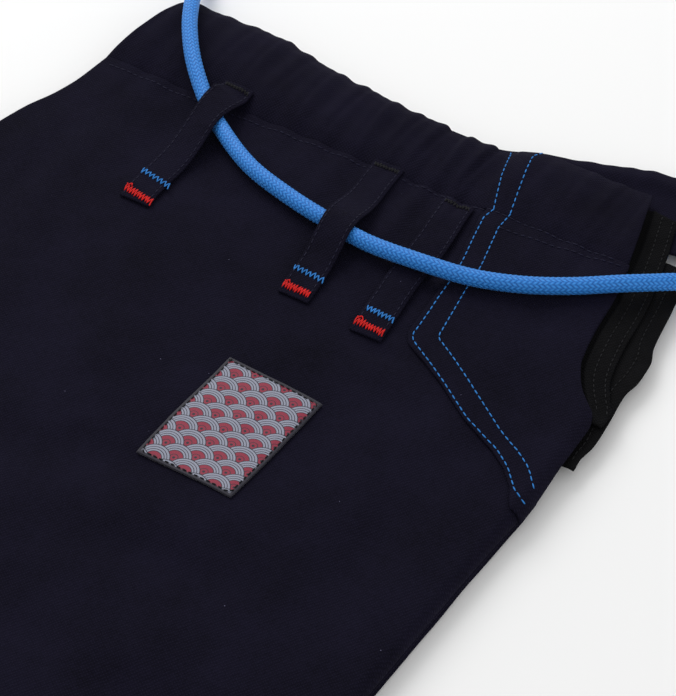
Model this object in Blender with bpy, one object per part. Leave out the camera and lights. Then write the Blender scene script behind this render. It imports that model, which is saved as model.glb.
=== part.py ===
"""Judo-style cotton trousers with a braided drawstring, folded once down the centre front and laid flat.

The wearer's left half is uppermost. X runs across to the side slit, Y runs up to the waist, Z is up, and
the origin lies on the surface below the middle of the garment. Lengths in the tables are millimetres.
"Drop" is the distance below the waist seam, and it is negative on the waistband.
"""

import math

import bmesh
import bpy
from mathutils import Vector

MM = 0.001

# Driving sizes, in millimetres
SEAM_Y = 429.0            # the waist seam's place along the garment
HEM_DROP = 931.5          # from the waist seam down to the leg hem
CROTCH_DROP = 284.0       # where the centre-front fold ends and the inseam starts
CLOTH = 1.3               # wall of the navy cotton
OVERLAY_CLOTH = 1.2       # wall of the hip panel, the facing and the loops
PATCH_CLOTH = 1.0
GAP = 0.3                 # between pieces at a seam
CORD = 7.8                # diameter of the drawstring
PANEL_TOP = 11.8          # height of the front panel's outer face where it lies flat
LEG_LAYER_TOP = 5.6       # height of the lower leg, which the upper one lies on
HIDDEN_TOP = 9.9          # height of the layers under the front panel
SLIT_BOTTOM = 110.0       # below this drop the slit is closed
WAIST_INSET = 1.7         # keeps the layers clear of the turned-down front above there
ROLL_WIDTH = 5.0          # how far in from a fold the cloth starts to turn down
FOLD_ROLL = 9.7           # how far the cloth turns down at the centre-front fold
LEG_ROLL = 5.2            # and at the folds of one leg
FULL_TURN = math.radians(96.0)

# Colours as linear RGB
NAVY = (0.0095, 0.0078, 0.0225)
BLACK = (0.0055, 0.0055, 0.0060)
CORD_BLUE = (0.028, 0.215, 0.63)
PATCH_RED = (0.30, 0.045, 0.09)

# Left outline: the centre-front fold, the crotch point, then the inseam. Rows: drop, across
LEFT_EDGE = (
    (-60.0, -113.5),
    (-27.0, -118.7),
    (-4.5, -122.2),
    (20.0, -124.2),
    (34.0, -127.2),
    (50.0, -133.0),
    (75.0, -138.5),
    (109.0, -145.0),
    (170.0, -157.0),
    (230.0, -172.0),
    (262.0, -183.5),
    (284.0, -192.5),
    (304.0, -189.0),
    (350.0, -176.0),
    (450.0, -154.0),
    (600.0, -124.0),
    (931.5, -76.0),
)

# Right outline: the slit's edge, its round bottom, then the side of the leg. Rows: drop, across
RIGHT_EDGE = (
    (-60.0, 143.0),
    (-45.0, 147.0),
    (-7.0, 156.8),
    (23.0, 162.2),
    (41.0, 163.8),
    (61.0, 167.3),
    (71.5, 172.0),
    (78.0, 176.5),
    (83.0, 181.5),
    (87.0, 185.3),
    (94.0, 186.8),
    (141.0, 186.3),
    (167.0, 184.4),
    (197.0, 182.6),
    (234.0, 180.8),
    (500.0, 168.5),
    (931.5, 148.0),
)

# How far the cloth turns down along the right outline. Rows: drop, depth
RIGHT_ROLL = (
    (-60.0, 0.6),
    (82.0, 0.6),
    (92.0, 2.2),
    (116.0, 2.6),
    (140.0, LEG_ROLL),
    (931.5, LEG_ROLL),
)

# How far the cloth turns down along the left outline. Rows: drop, depth
LEFT_ROLL = (
    (-60.0, FOLD_ROLL),
    (250.0, FOLD_ROLL),
    (300.0, LEG_ROLL),
    (931.5, LEG_ROLL),
)

# Soft ridges on the front panel. Columns: across and drop of one end, of the other, half width, height
PANEL_RIDGES = (
    (-100.0, 12.0, -66.0, 150.0, 20.0, 1.6),
    (-60.0, 20.0, 6.0, 190.0, 24.0, 0.8),
    (40.0, 232.0, 120.0, 205.0, 20.0, 1.8),
    (60.0, 330.0, 130.0, 236.0, 18.0, 1.6),
    (-120.0, 235.0, 10.0, 262.0, 22.0, 2.2),
    (-150.0, 300.0, -30.0, 430.0, 26.0, 2.4),
    (20.0, 420.0, 150.0, 500.0, 24.0, 1.6),
    (-90.0, 560.0, 90.0, 610.0, 26.0, 2.0),
    (-70.0, 720.0, 60.0, 690.0, 24.0, 1.4),
    (-40.0, 800.0, 120.0, 850.0, 22.0, 1.6),
)

# The waistband's height above the seam along its length. Columns: across, width, swell
BAND_PROFILE = (
    (-125.0, 58.5, 6.5),
    (-57.0, 57.0, 7.5),
    (-34.0, 52.0, 7.0),
    (-18.0, 49.0, 6.5),
    (2.0, 46.0, 6.0),
    (20.0, 43.5, 5.5),
    (39.0, 42.5, 5.0),
    (56.0, 40.8, 4.5),
    (68.0, 41.0, 4.2),
    (81.0, 43.8, 3.6),
    (106.0, 46.5, 3.2),
    (127.0, 46.0, 3.0),
    (150.0, 47.5, 2.6),
)

# The waistband from its seam up and over its top edge. Columns: share of the width, share of the swell
BAND_SECTION = (
    (0.00, 0.00),
    (0.14, 0.50),
    (0.36, 0.90),
    (0.60, 1.00),
    (0.82, 0.72),
    (0.95, 0.20),
    (1.00, -0.10),
)

# Gathers of the front waistband, drawn up on its cord. Columns: across, half width, depth
FRONT_GATHERS = (
    (-97.0, 5.0, 1.2),
    (-79.0, 5.5, 1.6),
    (-60.0, 5.0, 1.3),
    (-44.0, 5.0, 1.8),
    (-27.0, 5.5, 1.4),
    (-9.0, 5.0, 2.0),
    (8.0, 5.0, 1.6),
    (24.0, 5.0, 2.0),
    (38.0, 4.5, 1.7),
    (51.0, 4.5, 2.8),
    (64.0, 4.5, 2.2),
    (76.0, 4.5, 3.0),
    (108.0, 6.0, 1.0),
    (126.0, 5.5, 1.5),
    (141.0, 5.0, 1.9),
)

# Gathers of the back waistband. Columns: across, half width, depth
BACK_GATHERS = (
    (-80.0, 6.0, 0.8),
    (-40.0, 6.0, 0.8),
    (0.0, 6.0, 0.8),
    (40.0, 6.0, 0.8),
    (104.0, 5.5, 1.2),
    (118.0, 5.5, 1.6),
    (132.0, 5.5, 1.4),
    (147.0, 5.0, 1.6),
)

# The back waistband. Columns: across, drop of its upper edge, width, swell
BACK_BAND = (
    (-102.0, -59.0, 38.0, 0.7),
    (-57.0, -58.5, 38.0, 0.7),
    (-34.0, -53.5, 34.0, 0.7),
    (2.0, -47.5, 30.0, 0.7),
    (39.0, -44.0, 28.0, 0.7),
    (68.0, -43.5, 28.0, 0.7),
    (88.0, -51.0, 34.0, 1.6),
    (106.0, -56.5, 38.0, 2.6),
    (124.0, -63.0, 44.0, 3.0),
    (140.0, -68.0, 48.0, 3.4),
    (166.0, -72.0, 50.0, 3.6),
    (179.0, -73.2, 50.0, 10.6),
    (191.0, -73.5, 50.0, 10.6),
)

# The back waistband from its upper edge down. Columns: share of the width, share of the swell where the
# front band covers it, and at the open mouth of the casing
BACK_SECTION = (
    (1.00, 0.00, 0.00),
    (0.97, 0.55, 0.45),
    (0.84, 0.90, 0.85),
    (0.66, 0.08, 1.00),
    (0.42, 0.00, 1.00),
    (0.18, 0.00, 0.60),
    (0.00, 0.00, 0.00),
)

# The hip panel's stitched-down edge, from the waist seam to where it turns round the side. Rows: drop, across
HIP_EDGE = (
    (0.0, 89.0),
    (7.0, 88.8),
    (37.0, 95.0),
    (50.0, 96.7),
    (86.0, 98.9),
    (92.0, 102.7),
    (104.4, 124.9),
    (117.5, 144.3),
    (125.2, 161.0),
    (131.6, 170.0),
    (139.6, 177.5),
    (148.4, 182.0),
)

# The black underlap behind the slit. Columns: drop, inner edge, outer edge
UNDERLAP = (
    (-15.0, 140.0, 180.0),
    (10.0, 144.0, 184.5),
    (34.0, 146.0, 187.8),
    (44.0, 148.0, 191.0),
    (55.0, 149.0, 191.6),
    (65.0, 151.0, 190.2),
    (86.0, 160.0, 192.0),
    (97.0, 168.0, 192.5),
    (107.0, 174.0, 191.2),
    (112.5, 181.0, 191.8),
)

# Belt loops. Columns: name, across and drop of the upper end, of the lower end, clear of the cord or under it
BELT_LOOPS = (
    ("belt_loop_inner", -49.4, -9.0, -46.2, 79.5, True),
    ("belt_loop_middle", 37.0, -1.6, 46.0, 93.5, True),
    ("belt_loop_outer", 76.3, 2.9, 84.5, 97.0, False),
)
LOOP_WIDTH = 15.5
LOOP_EASE = 0.9            # how far a loop stands off the cloth between its tacks
LOOP_HUMP = 10.5           # half width of its hump over the drawstring

# The slit facing, from under the front's edge outwards. Columns: share of its reach, rise
FACING_SECTION = (
    (-0.5, 0.0),
    (0.1, 0.0),
    (0.22, 0.9),
    (0.36, 0.2),
    (0.7, 0.0),
    (1.0, -0.2),
)
FACING_REACH = 14.0
FACING_LIMIT = 191.0
FACING_TOP = 9.1

PATCH_CENTRE = (65.7, 170.4)   # across, drop
PATCH_SIZE = (46.0, 62.5)
PATCH_TURN = math.radians(-2.4)

# The drawstring's route over the cloth, from the back casing's mouth to its free end.
# Columns: across, drop, height of its middle above the floor
CORD_ROUTE = (
    (184.0, -50.0, 10.0),
    (193.0, -50.0, 9.8),
    (202.0, -45.5, 8.0),
    (205.5, -36.0, 5.8),
    (203.0, -25.0, 5.0),
    (196.0, -15.5, 7.0),
    (188.5, -8.0, 10.4),
    (180.6, -0.8, 13.0),
    (173.2, 6.8, 15.0),
    (162.5, 17.0, 17.2),
    (145.4, 30.2, 17.8),
    (126.9, 40.6, 17.8),
    (106.6, 47.8, 17.8),
    (84.3, 52.0, 18.9),
    (58.0, 51.6, 16.8),
    (36.5, 48.4, 16.4),
    (12.7, 43.8, 16.4),
    (-14.0, 35.6, 16.4),
    (-38.8, 21.4, 16.6),
    (-56.8, 7.9, 17.4),
    (-74.8, -8.6, 21.3),
    (-88.8, -25.8, 23.6),
    (-98.6, -41.5, 23.6),
    (-107.0, -57.0, 19.6),
    (-114.5, -72.0, 10.4),
    (-121.0, -88.0, 4.8),
    (-124.5, -105.0, 4.3),
    (-122.5, -122.0, 4.3),
    (-113.5, -136.5, 4.3),
    (-99.5, -146.0, 4.3),
    (-83.0, -150.5, 4.3),
)
CORD_STEPS = 78


def smooth_value(table, at, column=1):
    """Value of a table's column at a key, smooth between rows and with no overshoot."""
    keys = [row[0] for row in table]
    values = [row[column] for row in table]
    if at <= keys[0]:
        return values[0]
    if at >= keys[-1]:
        return values[-1]
    slopes = [(values[i + 1] - values[i]) / (keys[i + 1] - keys[i]) for i in range(len(keys) - 1)]
    tangents = [slopes[0]]
    for before, after in zip(slopes, slopes[1:]):
        tangents.append(0.0 if before * after <= 0.0 else 2.0 * before * after / (before + after))
    tangents.append(slopes[-1])
    row = max(i for i in range(len(keys) - 1) if keys[i] <= at)
    span = keys[row + 1] - keys[row]
    t = (at - keys[row]) / span
    start = (2 * t**3 - 3 * t**2 + 1) * values[row] + (t**3 - 2 * t**2 + t) * span * tangents[row]
    end = (3 * t**2 - 2 * t**3) * values[row + 1] + (t**3 - t**2) * span * tangents[row + 1]
    return start + end


def straight_value(table, at, column=1):
    """Value of a table's column at a key, straight between rows, for an outline with corners."""
    for low, high in zip(table, table[1:]):
        if at <= high[0]:
            share = max(0.0, (at - low[0]) / (high[0] - low[0]))
            return low[column] + share * (high[column] - low[column])
    return table[-1][column]


def ridge_height(across, drop):
    """Height that the front panel's soft ridges add at a place."""
    total = 0.0
    for x0, d0, x1, d1, half_width, height in PANEL_RIDGES:
        dx, dd = x1 - x0, d1 - d0
        share = ((across - x0) * dx + (drop - d0) * dd) / (dx * dx + dd * dd)
        share = min(1.0, max(0.0, share))
        away = math.hypot(across - x0 - share * dx, drop - d0 - share * dd) / half_width
        taper = 0.35 + 0.65 * math.sin(math.pi * share)
        total += height * taper * math.exp(-away * away)
    inset = min(across - smooth_value(LEFT_EDGE, drop), smooth_value(RIGHT_EDGE, drop) - across)
    return total * min(1.0, max(0.0, (inset - ROLL_WIDTH) / 15.0))


def roll_length(depth):
    """Length of cloth that turns down at a folded edge."""
    return 0.5 * math.pi * math.sqrt(0.5 * (ROLL_WIDTH**2 + depth**2))


def cloth_point(across, drop):
    """A point on the front panel's outer face. Past either fold, across is measured round the fold."""
    left = smooth_value(LEFT_EDGE, drop) + ROLL_WIDTH
    right = smooth_value(RIGHT_EDGE, drop) - ROLL_WIDTH
    y = SEAM_Y - drop
    if across < left:
        depth = smooth_value(LEFT_ROLL, drop)
        turn = min(1.0, (left - across) / roll_length(depth)) * FULL_TURN
        return Vector((left - ROLL_WIDTH * math.sin(turn), y, PANEL_TOP - depth * (1 - math.cos(turn))))
    if across > right:
        depth = smooth_value(RIGHT_ROLL, drop)
        last = FULL_TURN if depth > 0.98 * LEG_ROLL else math.acos(1 - depth / LEG_ROLL)
        turn = (across - right) / roll_length(depth) * last
        reach = ROLL_WIDTH * math.sin(turn) / math.sin(min(last, 0.5 * math.pi))
        return Vector((right + reach, y, PANEL_TOP - LEG_ROLL * (1 - math.cos(turn))))
    return Vector((across, y, PANEL_TOP + ridge_height(across, drop)))


def lifted(across, drop, lift):
    """A point over the front panel, moved out along the cloth's own direction."""
    step = 0.5
    along = cloth_point(across + step, drop) - cloth_point(across - step, drop)
    down = cloth_point(across, drop + step) - cloth_point(across, drop - step)
    return cloth_point(across, drop) + down.cross(along).normalized() * lift


def row_of_cloth(drop, start, end, count):
    """Places across the panel, close together round a fold and further apart where it lies flat."""
    left = smooth_value(LEFT_EDGE, drop) + ROLL_WIDTH
    right = smooth_value(RIGHT_EDGE, drop) - ROLL_WIDTH
    stops = [start]
    if start < left:
        length = left - start
        stops += [start + length * share for share in (0.28, 0.55, 0.78)]
        stops.append(left + 0.5)
    inner = max(start, left + 0.5)
    outer = min(end, right - 0.5)
    stops += [inner + (outer - inner) * i / count for i in range(1, count)]
    if end > right:
        stops.append(right - 0.5)
        stops += [right + (end - right) * share for share in (0.22, 0.45, 0.72)]
    stops.append(end)
    return stops


def material(name, colour, roughness):
    """A plain cloth or cord material."""
    made = bpy.data.materials.new(name)
    made.use_nodes = True
    shader = made.node_tree.nodes["Principled BSDF"]
    shader.inputs["Base Color"].default_value = (*colour, 1.0)
    shader.inputs["Roughness"].default_value = roughness
    shader.inputs["Metallic"].default_value = 0.0
    return made


def add_mesh(name, points, faces, finish):
    """A named object from points in millimetres, with its faces turned outwards."""
    mesh = bpy.data.meshes.new(name)
    mesh.from_pydata([point * MM for point in points], [], faces)
    work = bmesh.new()
    work.from_mesh(mesh)
    bmesh.ops.triangulate(work, faces=work.faces)
    bmesh.ops.recalc_face_normals(work, faces=work.faces)
    work.to_mesh(mesh)
    work.free()
    mesh.shade_smooth()
    mesh.set_sharp_from_angle(angle=math.radians(40.0))
    mesh.materials.append(finish)
    made = bpy.data.objects.new(name, mesh)
    bpy.context.scene.collection.objects.link(made)
    return made


def grid_normals(grid):
    """The outward direction at each point of a grid of points, rows down and columns across."""
    rows, columns = len(grid), len(grid[0])
    normals = []
    for i in range(rows):
        above, below = grid[max(i - 1, 0)], grid[min(i + 1, rows - 1)]
        line = []
        for j in range(columns):
            along = grid[i][min(j + 1, columns - 1)] - grid[i][max(j - 1, 0)]
            down = below[j] - above[j]
            line.append(down.cross(along).normalized())
        normals.append(line)
    return normals


def cloth_wall(name, grid, thickness, finish):
    """A closed wall of cloth, from the grid of its outer face inwards."""
    rows, columns = len(grid), len(grid[0])
    normals = grid_normals(grid)
    points = [grid[i][j] for i in range(rows) for j in range(columns)]
    points += [grid[i][j] - normals[i][j] * thickness for i in range(rows) for j in range(columns)]
    back = rows * columns
    faces = []
    for i in range(rows - 1):
        for j in range(columns - 1):
            a, b = i * columns + j, i * columns + j + 1
            c, d = b + columns, a + columns
            faces.append((a, b, c, d))
            faces.append((back + d, back + c, back + b, back + a))
    rim = [j for j in range(columns)]
    rim += [i * columns + columns - 1 for i in range(1, rows)]
    rim += [(rows - 1) * columns + j for j in range(columns - 2, -1, -1)]
    rim += [i * columns for i in range(rows - 2, 0, -1)]
    for here, after in zip(rim, rim[1:] + rim[:1]):
        faces.append((after, here, back + here, back + after))
    return add_mesh(name, points, faces, finish)


def spread(start, end, count):
    """Evenly spaced values from start to end."""
    return [start + (end - start) * i / (count - 1) for i in range(count)]


def front_panel(finish):
    """The left leg's front, from the waist seam to the hem, turned under along both folds."""
    drops = [GAP / 2, *spread(14.0, 70.0, 5), *spread(76.0, 94.0, 6), *spread(106.0, 262.0, 9)]
    drops += [*spread(274.0, 314.0, 4), *spread(350.0, HEM_DROP, 12)]
    grid = []
    for drop in drops:
        start = smooth_value(LEFT_EDGE, drop) + ROLL_WIDTH - roll_length(smooth_value(LEFT_ROLL, drop))
        end = smooth_value(RIGHT_EDGE, drop) - ROLL_WIDTH + roll_length(smooth_value(RIGHT_ROLL, drop))
        grid.append([cloth_point(x, drop) for x in row_of_cloth(drop, start, end, 11)])
    return cloth_wall("left_front_panel", grid, CLOTH, finish)


def hip_panel(finish):
    """The panel over the hip, laid on the front and turned round the side with it."""
    drops = [GAP, 18.0, 36.0, 52.0, 66.0, *spread(76.0, 94.0, 6), 103.0, 111.0, 118.0, 125.0, 131.0]
    drops += [137.0, 143.0, 148.4]
    grid = []
    for drop in drops:
        start = straight_value(HIP_EDGE, drop)
        end = smooth_value(RIGHT_EDGE, drop) - ROLL_WIDTH + roll_length(smooth_value(RIGHT_ROLL, drop))
        places = row_of_cloth(drop, start, end, 7)
        grid.append([lifted(x, drop, GAP + OVERLAY_CLOTH) for x in places])
    return cloth_wall("left_hip_panel", grid, OVERLAY_CLOTH, finish)


def gather_depth(gathers, across):
    """How far the gathers of a waistband dip at a place along it."""
    return sum(depth * math.exp(-((across - x) / half_width) ** 2) for x, half_width, depth in gathers)


def hip_lift(across):
    """How far the band stands out over the hip panel's thickness."""
    share = min(1.0, max(0.0, (across - 82.0) / 10.0))
    return (GAP + OVERLAY_CLOTH) * share * share * (3 - 2 * share)


def band_point(across, up_share, swell_share):
    """A point on the front waistband's outer face."""
    width = smooth_value(BAND_PROFILE, across)
    swell = smooth_value(BAND_PROFILE, across, 2)
    left = smooth_value(LEFT_EDGE, -width * up_share) + ROLL_WIDTH
    round_fold = min(1.0, max(0.0, 1.0 - (left - across) / 12.0))
    dip = gather_depth(FRONT_GATHERS, across)
    point = cloth_point(across, -(GAP / 2 + (width - 0.6 * dip) * up_share))
    point.z += hip_lift(across)
    dip_share = math.sin(0.5 * math.pi * min(1.0, up_share * 1.6)) * (1.0 - 0.65 * up_share**4)
    point.z += round_fold * (swell * swell_share - dip * dip_share)
    return point


def front_waistband(finish):
    """The gathered casing along the waist, from the centre-front fold to the slit."""
    columns = 84
    grid = []
    for up_share, swell_share in reversed(BAND_SECTION):
        drop = -46.0 * up_share
        start = smooth_value(LEFT_EDGE, drop) + ROLL_WIDTH - roll_length(FOLD_ROLL)
        end = smooth_value(RIGHT_EDGE, drop)
        grid.append([band_point(x, up_share, swell_share) for x in spread(start, end, columns)])
    return cloth_wall("front_waistband", grid, CLOTH, finish)


def back_waistband(finish):
    """The back casing, which rises behind the front one and opens in a mouth at the slit."""
    low = LEG_LAYER_TOP + GAP + CLOTH
    grid = []
    for up_share, covered, open_mouth in BACK_SECTION:
        line = []
        for across in spread(BACK_BAND[0][0], BACK_BAND[-1][0], 48):
            mouth = min(1.0, max(0.0, (across - 167.0) / 12.0))
            swell_share = covered + (open_mouth - covered) * mouth
            upper = smooth_value(BACK_BAND, across)
            width = smooth_value(BACK_BAND, across, 2)
            swell = smooth_value(BACK_BAND, across, 3)
            dip = gather_depth(BACK_GATHERS, across)
            drop = upper + width * (1 - up_share) + 0.7 * dip * up_share
            height = low + swell_share * (swell - 0.5 * dip * min(1.0, swell / 3.0))
            line.append(Vector((across, SEAM_Y - drop, height)))
        grid.append(line)
    return cloth_wall("back_waistband", grid, CLOTH, finish)


def slit_facing(finish):
    """The black facing that shows along the slit, with the rolled ridge at its seam."""
    grid = []
    for drop in [-40.0, -20.0, 0.0, 20.0, 38.0, 54.0, *spread(64.0, 88.0, 7)]:
        edge = smooth_value(RIGHT_EDGE, drop)
        reach = min(FACING_REACH, FACING_LIMIT - edge)
        grid.append([Vector((edge + share * reach, SEAM_Y - drop, FACING_TOP + rise)) for share, rise in FACING_SECTION])
    return cloth_wall("slit_facing", grid, OVERLAY_CLOTH, finish)


def slit_underlap(finish):
    """The black piece behind the slit, which reaches past the front and ends in a tail below it."""
    grid = []
    for drop in [-15.0, 0.0, 18.0, 35.0, 48.0, 58.0, 66.0, 76.0, 86.0, 95.0, 102.0, 108.0, 113.0]:
        inner = smooth_value(UNDERLAP, drop)
        outer = smooth_value(UNDERLAP, drop, 2)
        low = LEG_LAYER_TOP + GAP + OVERLAY_CLOTH
        line = []
        for share, rise in ((0.0, 0.0), (0.35, 0.0), (0.6, 0.0), (0.8, 0.2), (0.92, 0.1), (1.0, 0.0)):
            line.append(Vector((inner + (outer - inner) * share, SEAM_Y - drop, low + rise)))
        grid.append(line)
    return cloth_wall("slit_underlap", grid, OVERLAY_CLOTH, finish)


def on_cloth(across, drop, lift):
    """A point over whatever cloth is uppermost there: waistband, hip panel or front panel."""
    if drop < -GAP:
        width = smooth_value(BAND_PROFILE, across)
        share = min(0.9, -drop / width)
        point = band_point(across, share, straight_value(BAND_SECTION, share))
        point.z += lift
        return point
    over_hip = drop < 148.0 and across > straight_value(HIP_EDGE, max(drop, 0.0)) - 1.5
    return lifted(across, drop, lift + (GAP + OVERLAY_CLOTH if over_hip else 0.0))


def belt_loop(name, x0, d0, x1, d1, over_cord, finish):
    """A flat strap tacked down at both ends, with room for the drawstring under it where it passes."""
    rows = 27
    cord = smooth_route(CORD_ROUTE, 160)
    grid = []
    for i in range(rows):
        share = i / (rows - 1)
        x, drop = x0 + (x1 - x0) * share, d0 + (d1 - d0) * share
        near_end = min(1.0, min(share, 1 - share) * 9.0)
        side = 0.5 * LOOP_WIDTH
        line = []
        for out in (-side, -0.35 * side, 0.35 * side, side):
            place = Vector((x + out, SEAM_Y - drop, 0.0))
            base = max(on_cloth(place.x + nudge, drop, 0.0).z for nudge in (-2.5, 0.0, 2.5)) + GAP
            height = base + LOOP_EASE * near_end
            if over_cord:
                nearest = min(cord, key=lambda knot: (knot.xy - place.xy).length)
                away = (nearest.xy - place.xy).length / LOOP_HUMP
                lift = nearest.z + 0.5 * CORD + 2 * GAP - height
                height += max(0.0, lift) * math.exp(-(away**4)) * near_end
            place.z = height + OVERLAY_CLOTH
            line.append(place)
        grid.append(line)
    return cloth_wall(name, grid, OVERLAY_CLOTH, finish)


def thigh_patch(finish):
    """The woven patch, laid flat on the thigh."""
    width, height = PATCH_SIZE
    grid = []
    for v in spread(-0.5, 0.5, 6):
        line = []
        for u in spread(-0.5, 0.5, 5):
            right, down = u * width, v * height
            x = PATCH_CENTRE[0] + right * math.cos(PATCH_TURN) + down * math.sin(PATCH_TURN)
            drop = PATCH_CENTRE[1] - right * math.sin(PATCH_TURN) + down * math.cos(PATCH_TURN)
            line.append(lifted(x, drop, GAP + PATCH_CLOTH + 0.1))
        grid.append(line)
    return cloth_wall("thigh_patch", grid, PATCH_CLOTH, finish)


def smooth_route(route, count):
    """Evenly spaced points on a smooth curve through a route's own points."""
    knots = [Vector((x, SEAM_Y - drop, z)) for x, drop, z in route]
    ends = [2 * knots[0] - knots[1], *knots, 2 * knots[-1] - knots[-2]]
    dense = []
    for i in range(1, len(ends) - 2):
        a, b, c, d = ends[i - 1:i + 3]
        for step in range(20):
            t = step / 20
            dense.append(0.5 * (2 * b + (c - a) * t + (2 * a - 5 * b + 4 * c - d) * t**2
                                + (3 * b - 3 * c + d - a) * t**3))
    dense.append(knots[-1])
    reach = [0.0]
    for here, after in zip(dense, dense[1:]):
        reach.append(reach[-1] + (after - here).length)
    points = []
    k = 0
    for i in range(count):
        target = reach[-1] * i / (count - 1)
        while k < len(dense) - 2 and reach[k + 1] < target:
            k += 1
        share = (target - reach[k]) / (reach[k + 1] - reach[k])
        points.append(dense[k].lerp(dense[k + 1], min(1.0, share)))
    return points


def drawstring(finish):
    """The tubular braid, as a round tube along its route."""
    curve = bpy.data.curves.new("drawstring", "CURVE")
    curve.dimensions = "3D"
    curve.bevel_depth = 0.5 * CORD * MM
    curve.bevel_resolution = 2
    curve.use_fill_caps = True
    points = smooth_route(CORD_ROUTE, CORD_STEPS)
    spline = curve.splines.new("POLY")
    spline.points.add(len(points) - 1)
    for knot, point in zip(spline.points, points):
        knot.co = (*(point * MM), 1.0)
    curve.materials.append(finish)
    made = bpy.data.objects.new("drawstring", curve)
    bpy.context.scene.collection.objects.link(made)
    return made


# Edge of the hidden layers. Columns: height, inset of the lower leg's outline from the silhouette
LOWER_LAYERS = (
    (0.0, 1.8),
    (0.5, 0.5),
    (1.4, 0.0),
    (2.3, 0.5),
    (2.8, 1.7),
    (3.3, 0.5),
    (4.2, 0.0),
    (5.1, 0.5),
    (LEG_LAYER_TOP, 1.7),
)
UPPER_LAYER_HEIGHTS = (LEG_LAYER_TOP + 0.2, 7.2, 8.7, HIDDEN_TOP)


def inside_roll(depth, height):
    """Inset that keeps a layer inside the front panel's turned-down edge at a height."""
    wall = CLOTH + GAP + 0.5
    if PANEL_TOP - depth > height + wall:
        return 0.0
    half = max(depth - wall, 0.5)
    centre = PANEL_TOP - depth
    share = min(0.999, max(0.0, (height - centre) / half))
    return ROLL_WIDTH - (ROLL_WIDTH - wall) * math.sqrt(1 - share * share)


def hidden_outline(height, lower_inset):
    """The outline of the hidden layers at one height, as a ring of points."""
    upper = height > LEG_LAYER_TOP
    left, right = [], []
    top = 6.0 if upper else -51.0
    drops = [*spread(top, 100.0, 15), *spread(116.0, 262.0, 6), *spread(276.0, 320.0, 5)]
    drops += spread(380.0, HEM_DROP - 3.0, 10)
    for drop in drops:
        slit = min(1.0, max(0.0, (142.0 - drop) / 30.0))
        left_depth = smooth_value(LEFT_ROLL, drop)
        inset_left = max(inside_roll(left_depth, height), 0.0 if upper else lower_inset)
        if drop < CROTCH_DROP + 10.0 and not upper:
            inset_left += CLOTH + GAP + 0.4
        inset_left += 1.6 * math.exp(-((drop - 290.0) / 60.0) ** 2)
        inset_left += WAIST_INSET if upper and drop < SLIT_BOTTOM else 0.0
        inset_right = inside_roll(LEG_ROLL, height) + 24.0 * slit if upper else lower_inset + 9.0 * slit
        end = max(0.0, drop - (HEM_DROP - 8.0)) * 0.2
        low_end = lower_inset if drop > HEM_DROP - 8.0 or drop < top + 1.0 else 0.0
        y = SEAM_Y - drop + (low_end if drop > 0 else -low_end)
        slant = 0.14 * min(0.0, drop)
        left.append(Vector((smooth_value(LEFT_EDGE, drop) + inset_left + end, y, height)))
        right.append(Vector((smooth_value(RIGHT_EDGE, drop) - inset_right - end, y + slant, height)))
    return left + right[::-1]


def hidden_layers(finish):
    """The three layers under the front, as one rounded solid whose edge shows them one on another."""
    rings = [hidden_outline(height, inset) for height, inset in LOWER_LAYERS]
    rings += [hidden_outline(height, 1.7) for height in UPPER_LAYER_HEIGHTS]
    count = len(rings[0])
    points = [point for ring in rings for point in ring]
    faces = []
    for k in range(len(rings) - 1):
        for j in range(count):
            a, b = k * count + j, k * count + (j + 1) % count
            faces.append((a, b, b + count, a + count))
    half = count // 2
    for ring in (0, len(rings) - 1):
        base = ring * count
        for j in range(half - 1):
            faces.append((base + j, base + j + 1, base + count - 2 - j, base + count - 1 - j))
    return add_mesh("hidden_layers", points, faces, finish)


def main():
    """Clear the scene and model every piece."""
    for old in list(bpy.data.objects):
        bpy.data.objects.remove(old, do_unlink=True)
    front_panel(material("navy_cotton_front", NAVY, 0.9))
    hip_panel(material("navy_cotton_hip", NAVY, 0.9))
    front_waistband(material("navy_cotton_front_band", NAVY, 0.9))
    back_waistband(material("navy_cotton_back_band", NAVY, 0.9))
    for name, x0, d0, x1, d1, over_cord in BELT_LOOPS:
        belt_loop(name, x0, d0, x1, d1, over_cord, material(name + "_cotton", NAVY, 0.9))
    thigh_patch(material("woven_patch", PATCH_RED, 0.8))
    slit_facing(material("black_facing", BLACK, 0.85))
    slit_underlap(material("black_underlap", BLACK, 0.85))
    hidden_layers(material("navy_cotton_hidden", NAVY, 0.9))
    drawstring(material("braided_cord", CORD_BLUE, 0.55))


main()
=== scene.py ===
"""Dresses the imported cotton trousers, folded once down the centre front and laid flat, for a studio picture.

Lengths are millimetres until a mesh is made. X runs across to the side slit, Y up to the waist and Z up.
"Drop" is the distance below the waist seam, negative on the waistband, and "across" is the place along X.
"""

import logging
import math
from collections.abc import Sequence
from dataclasses import dataclass, field
from enum import Enum

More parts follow.
